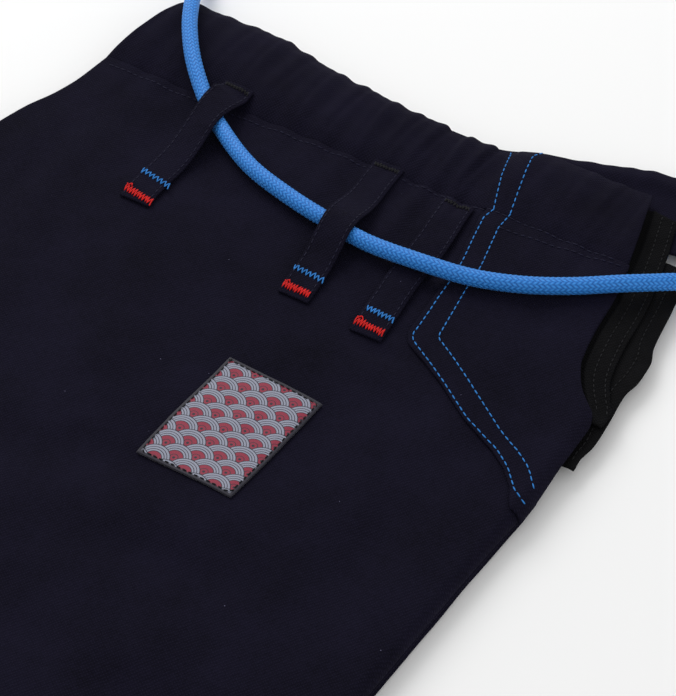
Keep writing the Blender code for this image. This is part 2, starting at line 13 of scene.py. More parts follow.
import bpy
import numpy as np
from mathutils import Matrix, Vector


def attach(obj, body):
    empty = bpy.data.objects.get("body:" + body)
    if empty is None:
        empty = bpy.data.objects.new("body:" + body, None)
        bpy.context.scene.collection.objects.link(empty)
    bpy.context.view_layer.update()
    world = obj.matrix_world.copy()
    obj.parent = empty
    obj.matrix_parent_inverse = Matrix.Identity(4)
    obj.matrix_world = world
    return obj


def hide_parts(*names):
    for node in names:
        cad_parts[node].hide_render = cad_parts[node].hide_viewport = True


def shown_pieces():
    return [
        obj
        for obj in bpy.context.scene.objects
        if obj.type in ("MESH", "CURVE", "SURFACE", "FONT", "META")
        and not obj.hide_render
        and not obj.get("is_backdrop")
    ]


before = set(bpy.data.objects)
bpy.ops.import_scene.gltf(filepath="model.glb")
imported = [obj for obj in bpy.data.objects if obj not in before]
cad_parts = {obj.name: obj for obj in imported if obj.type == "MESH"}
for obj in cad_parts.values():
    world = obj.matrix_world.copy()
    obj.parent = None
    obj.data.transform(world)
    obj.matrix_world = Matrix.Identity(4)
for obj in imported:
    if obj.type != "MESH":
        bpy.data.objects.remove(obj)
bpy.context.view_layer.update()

Table = tuple[tuple[float, ...], ...]

MM = 0.001
LOG = logging.getLogger("trousers")

# Driving sizes, the same as the solids have
SEAM_Y = 429.0
HEM_DROP = 931.5
CROTCH_DROP = 284.0
CLOTH = 1.3
OVERLAY_CLOTH = 1.2
PATCH_CLOTH = 1.0
GAP = 0.3
CORD = 7.8
PANEL_TOP = 11.8
LEG_LAYER_TOP = 5.6
HIDDEN_TOP = 9.9
SLIT_BOTTOM = 110.0
WAIST_INSET = 1.7
ROLL_WIDTH = 5.0
FOLD_ROLL = 9.7
LEG_ROLL = 5.2
FULL_TURN = math.radians(96.0)

# Left outline: centre-front fold, crotch point, inseam. Rows: drop, across
LEFT_EDGE: Table = (
    (-60.0, -113.5), (-27.0, -118.7), (-4.5, -122.2), (20.0, -124.2), (34.0, -127.2), (50.0, -133.0),
    (75.0, -138.5), (109.0, -145.0), (170.0, -157.0), (230.0, -172.0), (262.0, -183.5), (284.0, -192.5),
    (304.0, -189.0), (350.0, -176.0), (450.0, -154.0), (600.0, -124.0), (931.5, -76.0),
)

# Right outline: slit edge, its round bottom, side of the leg. Rows: drop, across
RIGHT_EDGE: Table = (
    (-60.0, 143.0), (-45.0, 147.0), (-7.0, 156.8), (23.0, 162.2), (41.0, 163.8), (61.0, 167.3),
    (71.5, 172.0), (78.0, 176.5), (83.0, 181.5), (87.0, 185.3), (94.0, 186.8), (141.0, 186.3),
    (167.0, 184.4), (197.0, 182.6), (234.0, 180.8), (500.0, 168.5), (931.5, 148.0),
)

# How far the cloth turns down along each outline. Rows: drop, depth
RIGHT_ROLL: Table = (
    (-60.0, 0.6), (82.0, 0.6), (92.0, 2.2), (116.0, 2.6), (140.0, LEG_ROLL), (931.5, LEG_ROLL),
)
LEFT_ROLL: Table = ((-60.0, FOLD_ROLL), (250.0, FOLD_ROLL), (300.0, LEG_ROLL), (931.5, LEG_ROLL))

# Soft ridges of the solids. Columns: across and drop of one end, of the other, half width, height
PANEL_RIDGES: Table = (
    (-100.0, 12.0, -66.0, 150.0, 20.0, 1.6),
    (-60.0, 20.0, 6.0, 190.0, 24.0, 0.8),
    (40.0, 232.0, 120.0, 205.0, 20.0, 1.8),
    (60.0, 330.0, 130.0, 236.0, 18.0, 1.6),
    (-120.0, 235.0, 10.0, 262.0, 22.0, 2.2),
    (-150.0, 300.0, -30.0, 430.0, 26.0, 2.4),
    (20.0, 420.0, 150.0, 500.0, 24.0, 1.6),
    (-90.0, 560.0, 90.0, 610.0, 26.0, 2.0),
    (-70.0, 720.0, 60.0, 690.0, 24.0, 1.4),
    (-40.0, 800.0, 120.0, 850.0, 22.0, 1.6),
)

# Finer creases that only the dressed cloth has. Same columns, and a trough's height is negative
FINE_CREASES: Table = (
    (146.0, 162.0, 147.0, 232.0, 15.0, -1.3),
    (165.0, 165.0, 164.0, 240.0, 12.0, 0.7),
    (97.0, 128.0, 93.0, 165.0, 13.0, -0.8),
    (116.0, 150.0, 132.0, 196.0, 12.0, 0.6),
    (84.0, 103.0, 106.0, 101.0, 4.5, -0.8),
    (88.0, 110.0, 116.0, 116.0, 6.0, 0.5),
    (80.0, 4.0, 92.0, 66.0, 6.5, -1.3),
    (62.0, 0.0, 70.0, 60.0, 6.0, -0.9),
    (56.0, 4.0, 60.0, 46.0, 5.0, 0.6),
    (28.0, 0.0, 26.0, 42.0, 6.0, -0.6),
    (-34.0, 0.0, -36.0, 58.0, 8.0, -0.7),
    (-70.0, -6.0, -62.0, 64.0, 9.0, -1.0),
    (-90.0, 60.0, -58.0, 128.0, 12.0, -0.7),
    (-104.0, 40.0, -96.0, 120.0, 7.0, -0.6),
    (10.0, 70.0, 34.0, 126.0, 14.0, -0.6),
    (-20.0, 96.0, 10.0, 178.0, 16.0, 0.6),
    (0.0, 214.0, 62.0, 204.0, 11.0, -0.9),
    (36.0, 250.0, 112.0, 236.0, 10.0, -0.9),
    (-60.0, 232.0, 10.0, 222.0, 12.0, -0.6),
    (-110.0, 170.0, -40.0, 196.0, 14.0, -0.6),
    (120.0, 100.0, 150.0, 60.0, 14.0, 0.6),
    (132.0, 30.0, 156.0, 76.0, 10.0, -0.6),
    (168.0, 110.0, 150.0, 136.0, 8.0, -0.6),
    (-170.0, 268.0, -120.0, 300.0, 9.0, -1.1),
    (-178.0, 290.0, -96.0, 352.0, 10.0, -1.0),
    (-140.0, 320.0, -40.0, 350.0, 12.0, -0.7),
    (40.0, 300.0, 140.0, 300.0, 12.0, -0.8),
    (-60.0, 460.0, 60.0, 480.0, 12.0, -1.0),
    (60.0, 440.0, 160.0, 420.0, 10.0, -0.8),
    (-120.0, 500.0, -20.0, 530.0, 10.0, -0.8),
    (-80.0, 640.0, 90.0, 660.0, 12.0, -0.9),
    (-60.0, 760.0, 110.0, 770.0, 11.0, -0.8),
    (-40.0, 866.0, 100.0, 884.0, 12.0, -0.7),
)

# The waistband's height above the seam along its length. Columns: across, width, swell
BAND_PROFILE: Table = (
    (-125.0, 58.5, 6.5), (-57.0, 57.0, 7.5), (-34.0, 52.0, 7.0), (-18.0, 49.0, 6.5), (2.0, 46.0, 6.0),
    (20.0, 43.5, 5.5), (39.0, 42.5, 5.0), (56.0, 40.8, 4.5), (68.0, 41.0, 4.2), (81.0, 43.8, 3.6),
    (106.0, 46.5, 3.2), (127.0, 46.0, 3.0), (150.0, 47.5, 2.6),
)

# The waistband from its seam up and over its top edge. Columns: share of the width, share of the swell
BAND_SECTION: Table = (
    (0.00, 0.00), (0.14, 0.50), (0.36, 0.90), (0.60, 1.00), (0.82, 0.72), (0.95, 0.20), (1.00, -0.10),
)

# Gathers of the front waistband, drawn up on its cord. Columns: across, half width, depth
FRONT_GATHERS: Table = (
    (-97.0, 5.0, 1.2), (-79.0, 5.5, 1.6), (-60.0, 5.0, 1.3), (-44.0, 5.0, 1.8), (-27.0, 5.5, 1.4),
    (-9.0, 5.0, 2.0), (8.0, 5.0, 1.6), (24.0, 5.0, 2.0), (38.0, 4.5, 1.7), (51.0, 4.5, 2.8),
    (64.0, 4.5, 2.2), (76.0, 4.5, 3.0), (108.0, 6.0, 1.0), (126.0, 5.5, 1.5), (141.0, 5.0, 1.9),
)

# Finer gathers between them, which lean as they rise. Columns: across, half width, depth, lean over the width
FINE_GATHERS: Table = (
    (-112.0, 3.0, 0.5, 2.0), (-88.0, 2.6, 0.5, -3.0), (-69.5, 2.4, 0.5, 2.0), (-52.0, 2.4, 0.6, -2.0),
    (-35.5, 2.6, 0.6, 3.0), (-18.0, 2.4, 0.6, -2.0), (-0.5, 2.2, 0.7, 2.0), (16.0, 2.4, 0.7, -3.0),
    (31.0, 2.2, 0.8, 2.0), (44.5, 2.2, 1.0, 3.0), (57.5, 2.2, 1.1, -3.0), (70.0, 2.0, 1.2, 3.0),
    (82.5, 2.4, 0.9, -4.0), (96.0, 3.0, 0.5, 2.0), (117.0, 2.6, 0.5, -2.0), (133.5, 2.4, 0.7, 2.0),
    (147.0, 2.2, 0.7, -1.0),
)

# Gathers of the back waistband. Columns: across, half width, depth
BACK_GATHERS: Table = (
    (-80.0, 6.0, 0.8), (-40.0, 6.0, 0.8), (0.0, 6.0, 0.8), (40.0, 6.0, 0.8), (104.0, 5.5, 1.2),
    (118.0, 5.5, 1.6), (132.0, 5.5, 1.4), (147.0, 5.0, 1.6),
)

# The back waistband. Columns: across, drop of its upper edge, width, swell
BACK_BAND: Table = (
    (-102.0, -59.0, 38.0, 0.7), (-57.0, -58.5, 38.0, 0.7), (-34.0, -53.5, 34.0, 0.7),
    (2.0, -47.5, 30.0, 0.7), (39.0, -44.0, 28.0, 0.7), (68.0, -43.5, 28.0, 0.7), (88.0, -51.0, 34.0, 1.6),
    (106.0, -56.5, 38.0, 2.6), (124.0, -63.0, 44.0, 3.0), (140.0, -68.0, 48.0, 3.4),
    (166.0, -72.0, 50.0, 3.6), (179.0, -73.2, 50.0, 10.6), (191.0, -73.5, 50.0, 10.6),
)

# The back waistband from its lower edge up. Columns: share of the width, share of the swell where it is
# covered, and at the open mouth of the casing
BACK_SECTION: Table = (
    (0.00, 0.00, 0.00), (0.18, 0.00, 0.60), (0.42, 0.00, 1.00), (0.66, 0.08, 1.00), (0.84, 0.90, 0.85),
    (0.97, 0.55, 0.45), (1.00, 0.00, 0.00),
)

# The hip panel's stitched-down edge. Rows: drop, across
HIP_EDGE: Table = (
    (0.0, 89.0), (7.0, 88.8), (37.0, 95.0), (50.0, 96.7), (86.0, 98.9), (92.0, 102.7), (104.4, 124.9),
    (117.5, 144.3), (125.2, 161.0), (131.6, 170.0), (139.6, 177.5), (148.4, 182.0),
)

# The black underlap behind the slit. Columns: drop, inner edge, outer edge
UNDERLAP: Table = (
    (-15.0, 140.0, 180.0), (10.0, 144.0, 184.5), (34.0, 146.0, 187.8), (44.0, 148.0, 191.0),
    (55.0, 149.0, 191.6), (65.0, 151.0, 190.2), (86.0, 160.0, 192.0), (97.0, 168.0, 192.5),
    (107.0, 174.0, 191.2), (112.5, 181.0, 191.8),
)

# The slit facing, from under the front's edge outwards. Columns: share of its reach, rise
FACING_SECTION: Table = ((-0.5, 0.0), (0.1, 0.0), (0.22, 0.9), (0.36, 0.2), (0.7, 0.0), (1.0, -0.2))

# The drawstring's route, from the back casing's mouth to its free end. Columns: across, drop, height
CORD_ROUTE: Table = (
    (184.0, -50.0, 10.0), (193.0, -50.0, 9.8), (202.0, -45.5, 8.0), (205.5, -36.0, 5.8),
    (203.0, -25.0, 5.0), (196.0, -15.5, 7.0), (188.5, -8.0, 10.4), (180.6, -0.8, 13.0),
    (173.2, 6.8, 15.0), (162.5, 17.0, 17.2), (145.4, 30.2, 17.8), (126.9, 40.6, 17.8),
    (106.6, 47.8, 17.8), (84.3, 52.0, 18.9), (58.0, 51.6, 16.8), (36.5, 48.4, 16.4), (12.7, 43.8, 16.4),
    (-14.0, 35.6, 16.4), (-38.8, 21.4, 16.6), (-56.8, 7.9, 17.4), (-74.8, -8.6, 21.3),
    (-88.8, -25.8, 23.6), (-98.6, -41.5, 23.6), (-107.0, -57.0, 19.6), (-114.5, -72.0, 10.4),
    (-121.0, -88.0, 4.8), (-124.5, -105.0, 4.3), (-122.5, -122.0, 4.3), (-113.5, -136.5, 4.3),
    (-99.5, -146.0, 4.3), (-83.0, -150.5, 4.3),
)

# Edge of the hidden layers. Columns: height, inset of the lower leg's outline from the silhouette
LOWER_LAYERS: Table = (
    (0.0, 1.8), (0.5, 0.5), (1.4, 0.0), (2.3, 0.5), (2.8, 1.7), (3.3, 0.5), (4.2, 0.0), (5.1, 0.5),
    (LEG_LAYER_TOP, 1.7),
)
UPPER_LAYER_HEIGHTS = (LEG_LAYER_TOP + 0.2, 7.2, 8.7, HIDDEN_TOP)


def smooth(table: Table, at: np.ndarray | float, column: int = 1) -> np.ndarray:
    """Read a table's column at any key, smooth between rows and with no overshoot.

    Args:
        table: Rows that start with their key, in rising order.
        at: The key or keys to read at.
        column: Which column to read.

    Returns:
        The values, one for each key.
    """
    rows = np.array(table, float)
    keys, values = rows[:, 0], rows[:, column]
    slopes = np.diff(values) / np.diff(keys)
    before, after = slopes[:-1], slopes[1:]
    same_way = before * after > 0.0
    inner = np.where(same_way, 2.0 * before * after / np.where(same_way, before + after, 1.0), 0.0)
    tangents = np.concatenate([slopes[:1], inner, slopes[-1:]])
    place = np.clip(at, keys[0], keys[-1])
    row = np.clip(np.searchsorted(keys, place, side="right") - 1, 0, len(keys) - 2)
    span = keys[row + 1] - keys[row]
    t = (place - keys[row]) / span
    start = (2 * t**3 - 3 * t**2 + 1) * values[row] + (t**3 - 2 * t**2 + t) * span * tangents[row]
    return start + (3 * t**2 - 2 * t**3) * values[row + 1] + (t**3 - t**2) * span * tangents[row + 1]


def straight(table: Table, at: np.ndarray | float, column: int = 1) -> np.ndarray:
    """Read a table's column straight between its rows, for an outline with corners.

    Args:
        table: Rows that start with their key, in rising order.
        at: The key or keys to read at.
        column: Which column to read.

    Returns:
        The values, one for each key.
    """
    rows = np.array(table, float)
    return np.interp(at, rows[:, 0], rows[:, column])


def ease(share: np.ndarray | float) -> np.ndarray:
    """Turn a share into a soft step from 0 to 1."""
    held = np.clip(share, 0.0, 1.0)
    return held * held * (3.0 - 2.0 * held)


def roll_length(depth: np.ndarray | float) -> np.ndarray:
    """Length of cloth that turns down at a folded edge of that depth."""
    return 0.5 * math.pi * np.sqrt(0.5 * (ROLL_WIDTH**2 + np.asarray(depth) ** 2))


def crease_height(across: np.ndarray, drop: np.ndarray, creases: Table) -> np.ndarray:
    """Add up the soft ridges and troughs of a table at each place.

    Args:
        across: Places along X.
        drop: Drops of the same places.
        creases: Columns across and drop of both ends, half width, height.

    Returns:
        The height that they add there.
    """
    total = np.zeros(np.broadcast(across, drop).shape)
    for x0, d0, x1, d1, half_width, height in creases:
        dx, dd = x1 - x0, d1 - d0
        share = np.clip(((across - x0) * dx + (drop - d0) * dd) / (dx * dx + dd * dd), 0.0, 1.0)
        away = np.hypot(across - x0 - share * dx, drop - d0 - share * dd) / half_width
        total += height * (0.35 + 0.65 * np.sin(math.pi * share)) * np.exp(-away * away)
    return total


def unevenness(x: np.ndarray, y: np.ndarray, size: float, seed: int) -> np.ndarray:
    """Give the soft unevenness of handled cloth, as a sum of a few waves.

    Args:
        x: Places along X.
        y: Places along Y.
        size: Rough distance between its swells.
        seed: Fixes the waves' directions.

    Returns:
        Values mostly from -1 to 1.
    """
    rng = np.random.default_rng(seed)
    total = np.zeros(np.broadcast(x, y).shape)
    for turn, length, phase in rng.uniform((0, 0.75, 0), (math.tau, 1.6, math.tau), (9, 3)):
        along = x * math.cos(turn) + y * math.sin(turn)
        total += np.sin(math.tau * along / (size * length) + phase)
    return total / 3.0


def linear(colour: str) -> tuple[float, float, float, float]:
    """Turn an sRGB hex colour such as #1b1a2d into linear RGBA."""
    shares = [int(colour[i:i + 2], 16) / 255.0 for i in (1, 3, 5)]
    parts = [s / 12.92 if s <= 0.04045 else ((s + 0.055) / 1.055) ** 2.4 for s in shares]
    return (*parts, 1.0)


def add(tree: bpy.types.NodeTree, kind: str, inputs: dict | None = None,
        **settings: object) -> bpy.types.Node:
    """Add a node with its settings and links.

    Args:
        tree: The node tree.
        kind: The node's type.
        inputs: Socket name or number, and the value or the output to link to it.
        settings: The node's own properties.

    Returns:
        The node.
    """
    node = tree.nodes.new(kind)
    for name, value in settings.items():
        setattr(node, name, value)
    for socket, value in (inputs or {}).items():
        if isinstance(value, bpy.types.NodeSocket):
            tree.links.new(value, node.inputs[socket])
        else:
            node.inputs[socket].default_value = value
    return node


def new_material(name: str) -> tuple[bpy.types.Material, bpy.types.NodeTree, bpy.types.Node]:
    """Make an empty node material, and return it with its tree and its Principled shader."""
    made = bpy.data.materials.new(name)
    made.use_nodes = True
    return made, made.node_tree, made.node_tree.nodes["Principled BSDF"]


class Yarn(Enum):
    """Colours of sewing thread."""

    BLUE = ("polyester_thread_blue", "#2f78c0")
    RED = ("polyester_thread_red", "#c61d1b")
    NAVY = ("cotton_thread_navy", "#17162b")
    BLACK = ("cotton_thread_black", "#131316")


@dataclass(frozen=True)
class CottonTwill:
    """Woven cotton twill: diagonal ribs, a soft mottled face, a little sheen and odd specks of lint; the ribs'
    colour is painted highlight on their crests and painted shade in their grooves.
    """

    name: str
    colour: str
    mottle_and_rib_highlight_colour: str
    rib_pitch: float = 1.05
    rib_turn: float = math.radians(33.0)
    weave_depth: float = 0.34
    sheen: float = 0.025
    lint_colour: str = "#5b5970"

    def material(self) -> bpy.types.Material:
        """Build the twill. Ribs are drawn a little coarser than the real 0.7 mm so that they show."""
        made, tree, shader = new_material(self.name)
        place = add(tree, "ShaderNodeTexCoord").outputs["Object"]
        turned = add(tree, "ShaderNodeMapping", {"Vector": place, "Rotation": (0.0, 0.0, self.rib_turn)})
        rib_scale = 0.1 * math.pi / (self.rib_pitch * MM)
        ribs = add(tree, "ShaderNodeTexWave", {
            "Vector": turned.outputs[0], "Scale": rib_scale, "Distortion": 0.8, "Detail": 2.0,
            "Detail Scale": 1.5}, bands_direction="Y")
        floats = add(tree, "ShaderNodeTexWave", {
            "Vector": turned.outputs[0], "Scale": rib_scale * 0.8, "Distortion": 2.5, "Detail": 2.0,
            "Detail Scale": 2.0}, bands_direction="X")
        fuzz = add(tree, "ShaderNodeTexNoise", {"Vector": place, "Scale": 1500.0, "Detail": 4.0})
        weave = add(tree, "ShaderNodeMath", {0: ribs.outputs["Fac"], 1: floats.outputs["Fac"], 2: 0.5},
                    operation="MULTIPLY_ADD")
        height = add(tree, "ShaderNodeMath", {0: fuzz.outputs["Fac"], 1: 0.9, 2: weave.outputs[0]},
                     operation="MULTIPLY_ADD")
        bump = add(tree, "ShaderNodeBump", {"Strength": 0.8, "Distance": self.weave_depth * MM,
                                            "Height": height.outputs[0]})
        cloud = add(tree, "ShaderNodeTexNoise", {"Vector": place, "Scale": 26.0, "Detail": 5.0,
                                                 "Roughness": 0.62})
        speckle = add(tree, "ShaderNodeTexNoise", {"Vector": place, "Scale": 620.0, "Detail": 2.0})
        tone = add(tree, "ShaderNodeMath", {0: cloud.outputs["Fac"], 1: 1.3, 2: -0.35},
                   operation="MULTIPLY_ADD")
        grain = add(tree, "ShaderNodeMath", {0: speckle.outputs["Fac"], 1: 0.55, 2: tone.outputs[0]},
                    operation="MULTIPLY_ADD")
        # Painted shade and highlight: the weave's height, which also drives the bump, makes the colour lighter
        # on rib crests and darker in grooves, on top of the random mottle
        mottle_and_rib_shade = add(tree, "ShaderNodeMath", {0: weave.outputs[0], 1: 0.55, 2: grain.outputs[0]},
                     operation="MULTIPLY_ADD")
        share = add(tree, "ShaderNodeMath", {0: mottle_and_rib_shade.outputs[0], 1: 0.4}, operation="SUBTRACT",
                    use_clamp=True)
        ground = add(tree, "ShaderNodeMix", {0: share.outputs[0], 6: linear(self.colour),
                                             7: linear(self.mottle_and_rib_highlight_colour)}, data_type="RGBA")
        cell = add(tree, "ShaderNodeTexVoronoi", {"Vector": place, "Scale": 95.0})
        small = add(tree, "ShaderNodeMath", {0: cell.outputs["Distance"], 1: 0.022}, operation="LESS_THAN")
        chosen = add(tree, "ShaderNodeSeparateColor", {0: cell.outputs["Color"]})
        rare = add(tree, "ShaderNodeMath", {0: chosen.outputs[0], 1: 0.62}, operation="GREATER_THAN")
        lint = add(tree, "ShaderNodeMath", {0: small.outputs[0], 1: rare.outputs[0]}, operation="MULTIPLY")
        colour = add(tree, "ShaderNodeMix", {0: lint.outputs[0], 6: ground.outputs[2],
                                             7: linear(self.lint_colour)}, data_type="RGBA")
        tree.links.new(colour.outputs[2], shader.inputs["Base Color"])
        tree.links.new(bump.outputs[0], shader.inputs["Normal"])
        shader.inputs["Roughness"].default_value = 0.88
        shader.inputs["Specular IOR Level"].default_value = 0.04
        shader.inputs["Sheen Weight"].default_value = self.sheen
        shader.inputs["Sheen Roughness"].default_value = 0.42
        shader.inputs["Sheen Tint"].default_value = linear("#8d8ab0")
        return made


@dataclass(frozen=True)
class PolyesterBraid:
    """Tubular polyester braid, dyed blue: smooth filament bundles, with painted highlight on their crests and
    painted shade in the gaps between them.
    """

    name: str = "polyester_braid_blue"
    painted_gap_shade_colour: str = "#0d4686"
    body_colour: str = "#1a70c6"
    painted_crest_highlight_colour: str = "#3c93e6"
    filament_depth: float = 0.08

    def material(self) -> bpy.types.Material:
        """Build the braid's colour from how high each point of the plait stands: painted shade low in the
        gaps, painted highlight high on the crests.
        """
        made, tree, shader = new_material(self.name)
        plait = add(tree, "ShaderNodeAttribute", attribute_name="plait")
        # Painted shade and highlight: the ramp darkens the plait's low gaps and lightens its crests
        ramp = add(tree, "ShaderNodeValToRGB", {"Fac": plait.outputs["Fac"]})
        stops = ramp.color_ramp.elements
        stops[0].position, stops[0].color = 0.05, linear(self.painted_gap_shade_colour)
        stops[1].position, stops[1].color = 0.95, linear(self.painted_crest_highlight_colour)
        middle = stops.new(0.5)
        middle.color = linear(self.body_colour)
        strands = add(tree, "ShaderNodeAttribute", attribute_name="filament")
        fine = add(tree, "ShaderNodeTexWave", {"Vector": strands.outputs["Vector"], "Scale": 1.0,
                                               "Distortion": 1.0}, bands_direction="X")
        bump = add(tree, "ShaderNodeBump", {"Strength": 0.35, "Distance": self.filament_depth * MM,
                                            "Height": fine.outputs["Fac"]})
        tree.links.new(ramp.outputs[0], shader.inputs["Base Color"])
        tree.links.new(bump.outputs[0], shader.inputs["Normal"])
        shader.inputs["Roughness"].default_value = 0.52
        shader.inputs["Specular IOR Level"].default_value = 0.3
        shader.inputs["Sheen Weight"].default_value = 0.05
        return made


@dataclass(frozen=True)
class SpunThread:
    """Twisted sewing thread, matt with a faint lustre along its ply."""

    yarn: Yarn
    ply_depth: float = 0.06

    def material(self) -> bpy.types.Material:
        """Build the thread, with the ply's twist as fine bumps."""
        name, colour = self.yarn.value
        made, tree, shader = new_material(name)
        place = add(tree, "ShaderNodeTexCoord").outputs["Object"]
        ply = add(tree, "ShaderNodeTexWave", {"Vector": place, "Scale": 700.0, "Distortion": 1.5})
        bump = add(tree, "ShaderNodeBump", {"Strength": 0.4, "Distance": self.ply_depth * MM,
                                            "Height": ply.outputs["Fac"]})
        wear = add(tree, "ShaderNodeTexNoise", {"Vector": place, "Scale": 380.0, "Detail": 2.0})
        tone = add(tree, "ShaderNodeHueSaturation", {
            "Value": add(tree, "ShaderNodeMath", {0: wear.outputs["Fac"], 1: 0.9, 2: 0.6},
                         operation="MULTIPLY_ADD").outputs[0],
            "Color": linear(colour)})
        tree.links.new(tone.outputs[0], shader.inputs["Base Color"])
        tree.links.new(bump.outputs[0], shader.inputs["Normal"])
        shader.inputs["Roughness"].default_value = 0.6
        shader.inputs["Specular IOR Level"].default_value = 0.12
        shader.inputs["Sheen Weight"].default_value = 0.03
        return made


@dataclass(frozen=True)
class WovenLabel:
    """Damask-woven label: round traditional waves in grey lines with crimson hearts on a dark ground."""

    name: str = "woven_label_waves"
    ground: str = "#1d1b2b"
    line: str = "#989cae"
    heart: str = "#93203d"
    wave_radius: float = 7.4
    rows_overlap: float = 0.62
    border: float = 1.1
    weave_depth: float = 0.1

    def material(self, width: float, height: float) -> bpy.types.Material:
        """Build the label, read through a UV map in millimetres.

        Args:
            width: Width of the label.
            height: Height of the label.

        Returns:
            The material.
        """
        made, tree, shader = new_material(self.name)
        place = add(tree, "ShaderNodeUVMap", uv_map="woven")
        split = add(tree, "ShaderNodeSeparateXYZ", {0: place.outputs[0]})
        x, y = split.outputs[0], split.outputs[1]
        step = self.wave_radius * self.rows_overlap
        first = add(tree, "ShaderNodeMath", {0: y, 1: self.wave_radius}, operation="SUBTRACT")
        row_share = add(tree, "ShaderNodeMath", {0: first.outputs[0], 1: step}, operation="DIVIDE")
        lowest = add(tree, "ShaderNodeMath", {0: row_share.outputs[0]}, operation="CEIL")
        chosen = None
        for ahead in (3, 2, 1, 0):
            row = add(tree, "ShaderNodeMath", {0: lowest.outputs[0], 1: float(ahead)}, operation="ADD")
            odd = add(tree, "ShaderNodeMath", {0: row.outputs[0], 1: 2.0}, operation="FLOORED_MODULO")
            shift = add(tree, "ShaderNodeMath", {0: odd.outputs[0], 1: self.wave_radius},
                        operation="MULTIPLY")
            moved = add(tree, "ShaderNodeMath", {0: x, 1: shift.outputs[0]}, operation="ADD")
            cell = add(tree, "ShaderNodeMath", {0: moved.outputs[0], 1: 2.0 * self.wave_radius},
                       operation="FLOORED_MODULO")
            side = add(tree, "ShaderNodeMath", {0: cell.outputs[0], 1: self.wave_radius},
                       operation="SUBTRACT")
            centre = add(tree, "ShaderNodeMath", {0: row.outputs[0], 1: step}, operation="MULTIPLY")
            rise = add(tree, "ShaderNodeMath", {0: y, 1: centre.outputs[0]}, operation="SUBTRACT")
            flat = add(tree, "ShaderNodeCombineXYZ", {0: side.outputs[0], 1: rise.outputs[0]})
            reach = add(tree, "ShaderNodeVectorMath", {0: flat.outputs[0]}, operation="LENGTH")
            radius = add(tree, "ShaderNodeMath", {0: reach.outputs["Value"], 1: self.wave_radius},
                         operation="DIVIDE")
            if chosen is None:
                chosen = radius.outputs[0]
                continue
            inside = add(tree, "ShaderNodeMath", {0: radius.outputs[0], 1: 1.0}, operation="LESS_THAN")
            picked = add(tree, "ShaderNodeMix", {0: inside.outputs[0], 2: chosen, 3: radius.outputs[0]})
            chosen = picked.outputs[0]
        rings = add(tree, "ShaderNodeValToRGB", {"Fac": chosen})
        rings.color_ramp.interpolation = "CONSTANT"
        stops = rings.color_ramp.elements
        stops[0].position, stops[0].color = 0.0, linear(self.ground)
        stops[1].position, stops[1].color = 0.08, linear(self.heart)
        plan = ((0.22, self.ground), (0.26, self.heart), (0.50, self.ground), (0.54, self.line),
                (0.64, self.ground), (0.68, self.line), (0.79, self.ground), (0.83, self.line),
                (0.95, self.ground))
        for position, colour in plan:
            stops.new(position).color = linear(colour)
        edge = None
        for value, size in ((x, width), (y, height)):
            other = add(tree, "ShaderNodeMath", {0: size, 1: value}, operation="SUBTRACT")
            near = add(tree, "ShaderNodeMath", {0: value, 1: other.outputs[0]}, operation="MINIMUM")
            if edge is not None:
                near = add(tree, "ShaderNodeMath", {0: near.outputs[0], 1: edge.outputs[0]},
                           operation="MINIMUM")
            edge = near
        framed = add(tree, "ShaderNodeMath", {0: edge.outputs[0], 1: self.border}, operation="LESS_THAN")
        colour = add(tree, "ShaderNodeMix", {0: framed.outputs[0], 6: rings.outputs[0],
                                             7: linear(self.ground)}, data_type="RGBA")
        picks = add(tree, "ShaderNodeTexWave", {"Vector": place.outputs[0], "Scale": 0.62,
                                                "Distortion": 0.4}, bands_direction="Y")
        warp = add(tree, "ShaderNodeTexWave", {"Vector": place.outputs[0], "Scale": 0.5,
                                               "Distortion": 0.4}, bands_direction="X")
        weave = add(tree, "ShaderNodeMath", {0: picks.outputs["Fac"], 1: warp.outputs["Fac"]},
                    operation="MULTIPLY")
        # Painted shade: the colour is darkened where the weave's height, which also drives the bump, is low
        painted_weave_shade = add(tree, "ShaderNodeMath", {0: weave.outputs[0], 1: 0.35, 2: 0.72}, operation="MULTIPLY_ADD")
        woven = add(tree, "ShaderNodeMix", {0: 1.0, 6: colour.outputs[2], 7: painted_weave_shade.outputs[0]},
                    data_type="RGBA", blend_type="MULTIPLY")
        bump = add(tree, "ShaderNodeBump", {"Strength": 0.5, "Distance": self.weave_depth * MM,
                                            "Height": weave.outputs[0]})
        tree.links.new(woven.outputs[2], shader.inputs["Base Color"])
        tree.links.new(bump.outputs[0], shader.inputs["Normal"])
        shader.inputs["Roughness"].default_value = 0.62
        shader.inputs["Specular IOR Level"].default_value = 0.3
        shader.inputs["Sheen Weight"].default_value = 0.15
        return made


@dataclass(frozen=True)
class PaintedFloor:
    """Matt pale studio floor."""

    colour: str = "#f2f2f2"

    def material(self) -> bpy.types.Material:
        """Build the floor, with the faintest unevenness of rolled paint."""
        made, tree, shader = new_material("matt_floor_paint")
        place = add(tree, "ShaderNodeTexCoord").outputs["Object"]
        rolled = add(tree, "ShaderNodeTexNoise", {"Vector": place, "Scale": 300.0})
        bump = add(tree, "ShaderNodeBump", {"Strength": 0.05, "Distance": 0.1 * MM,
                                            "Height": rolled.outputs["Fac"]})
        tree.links.new(bump.outputs[0], shader.inputs["Normal"])
        shader.inputs["Base Color"].default_value = linear(self.colour)
        shader.inputs["Roughness"].default_value = 0.9
        shader.inputs["Specular IOR Level"].default_value = 0.1
        return made


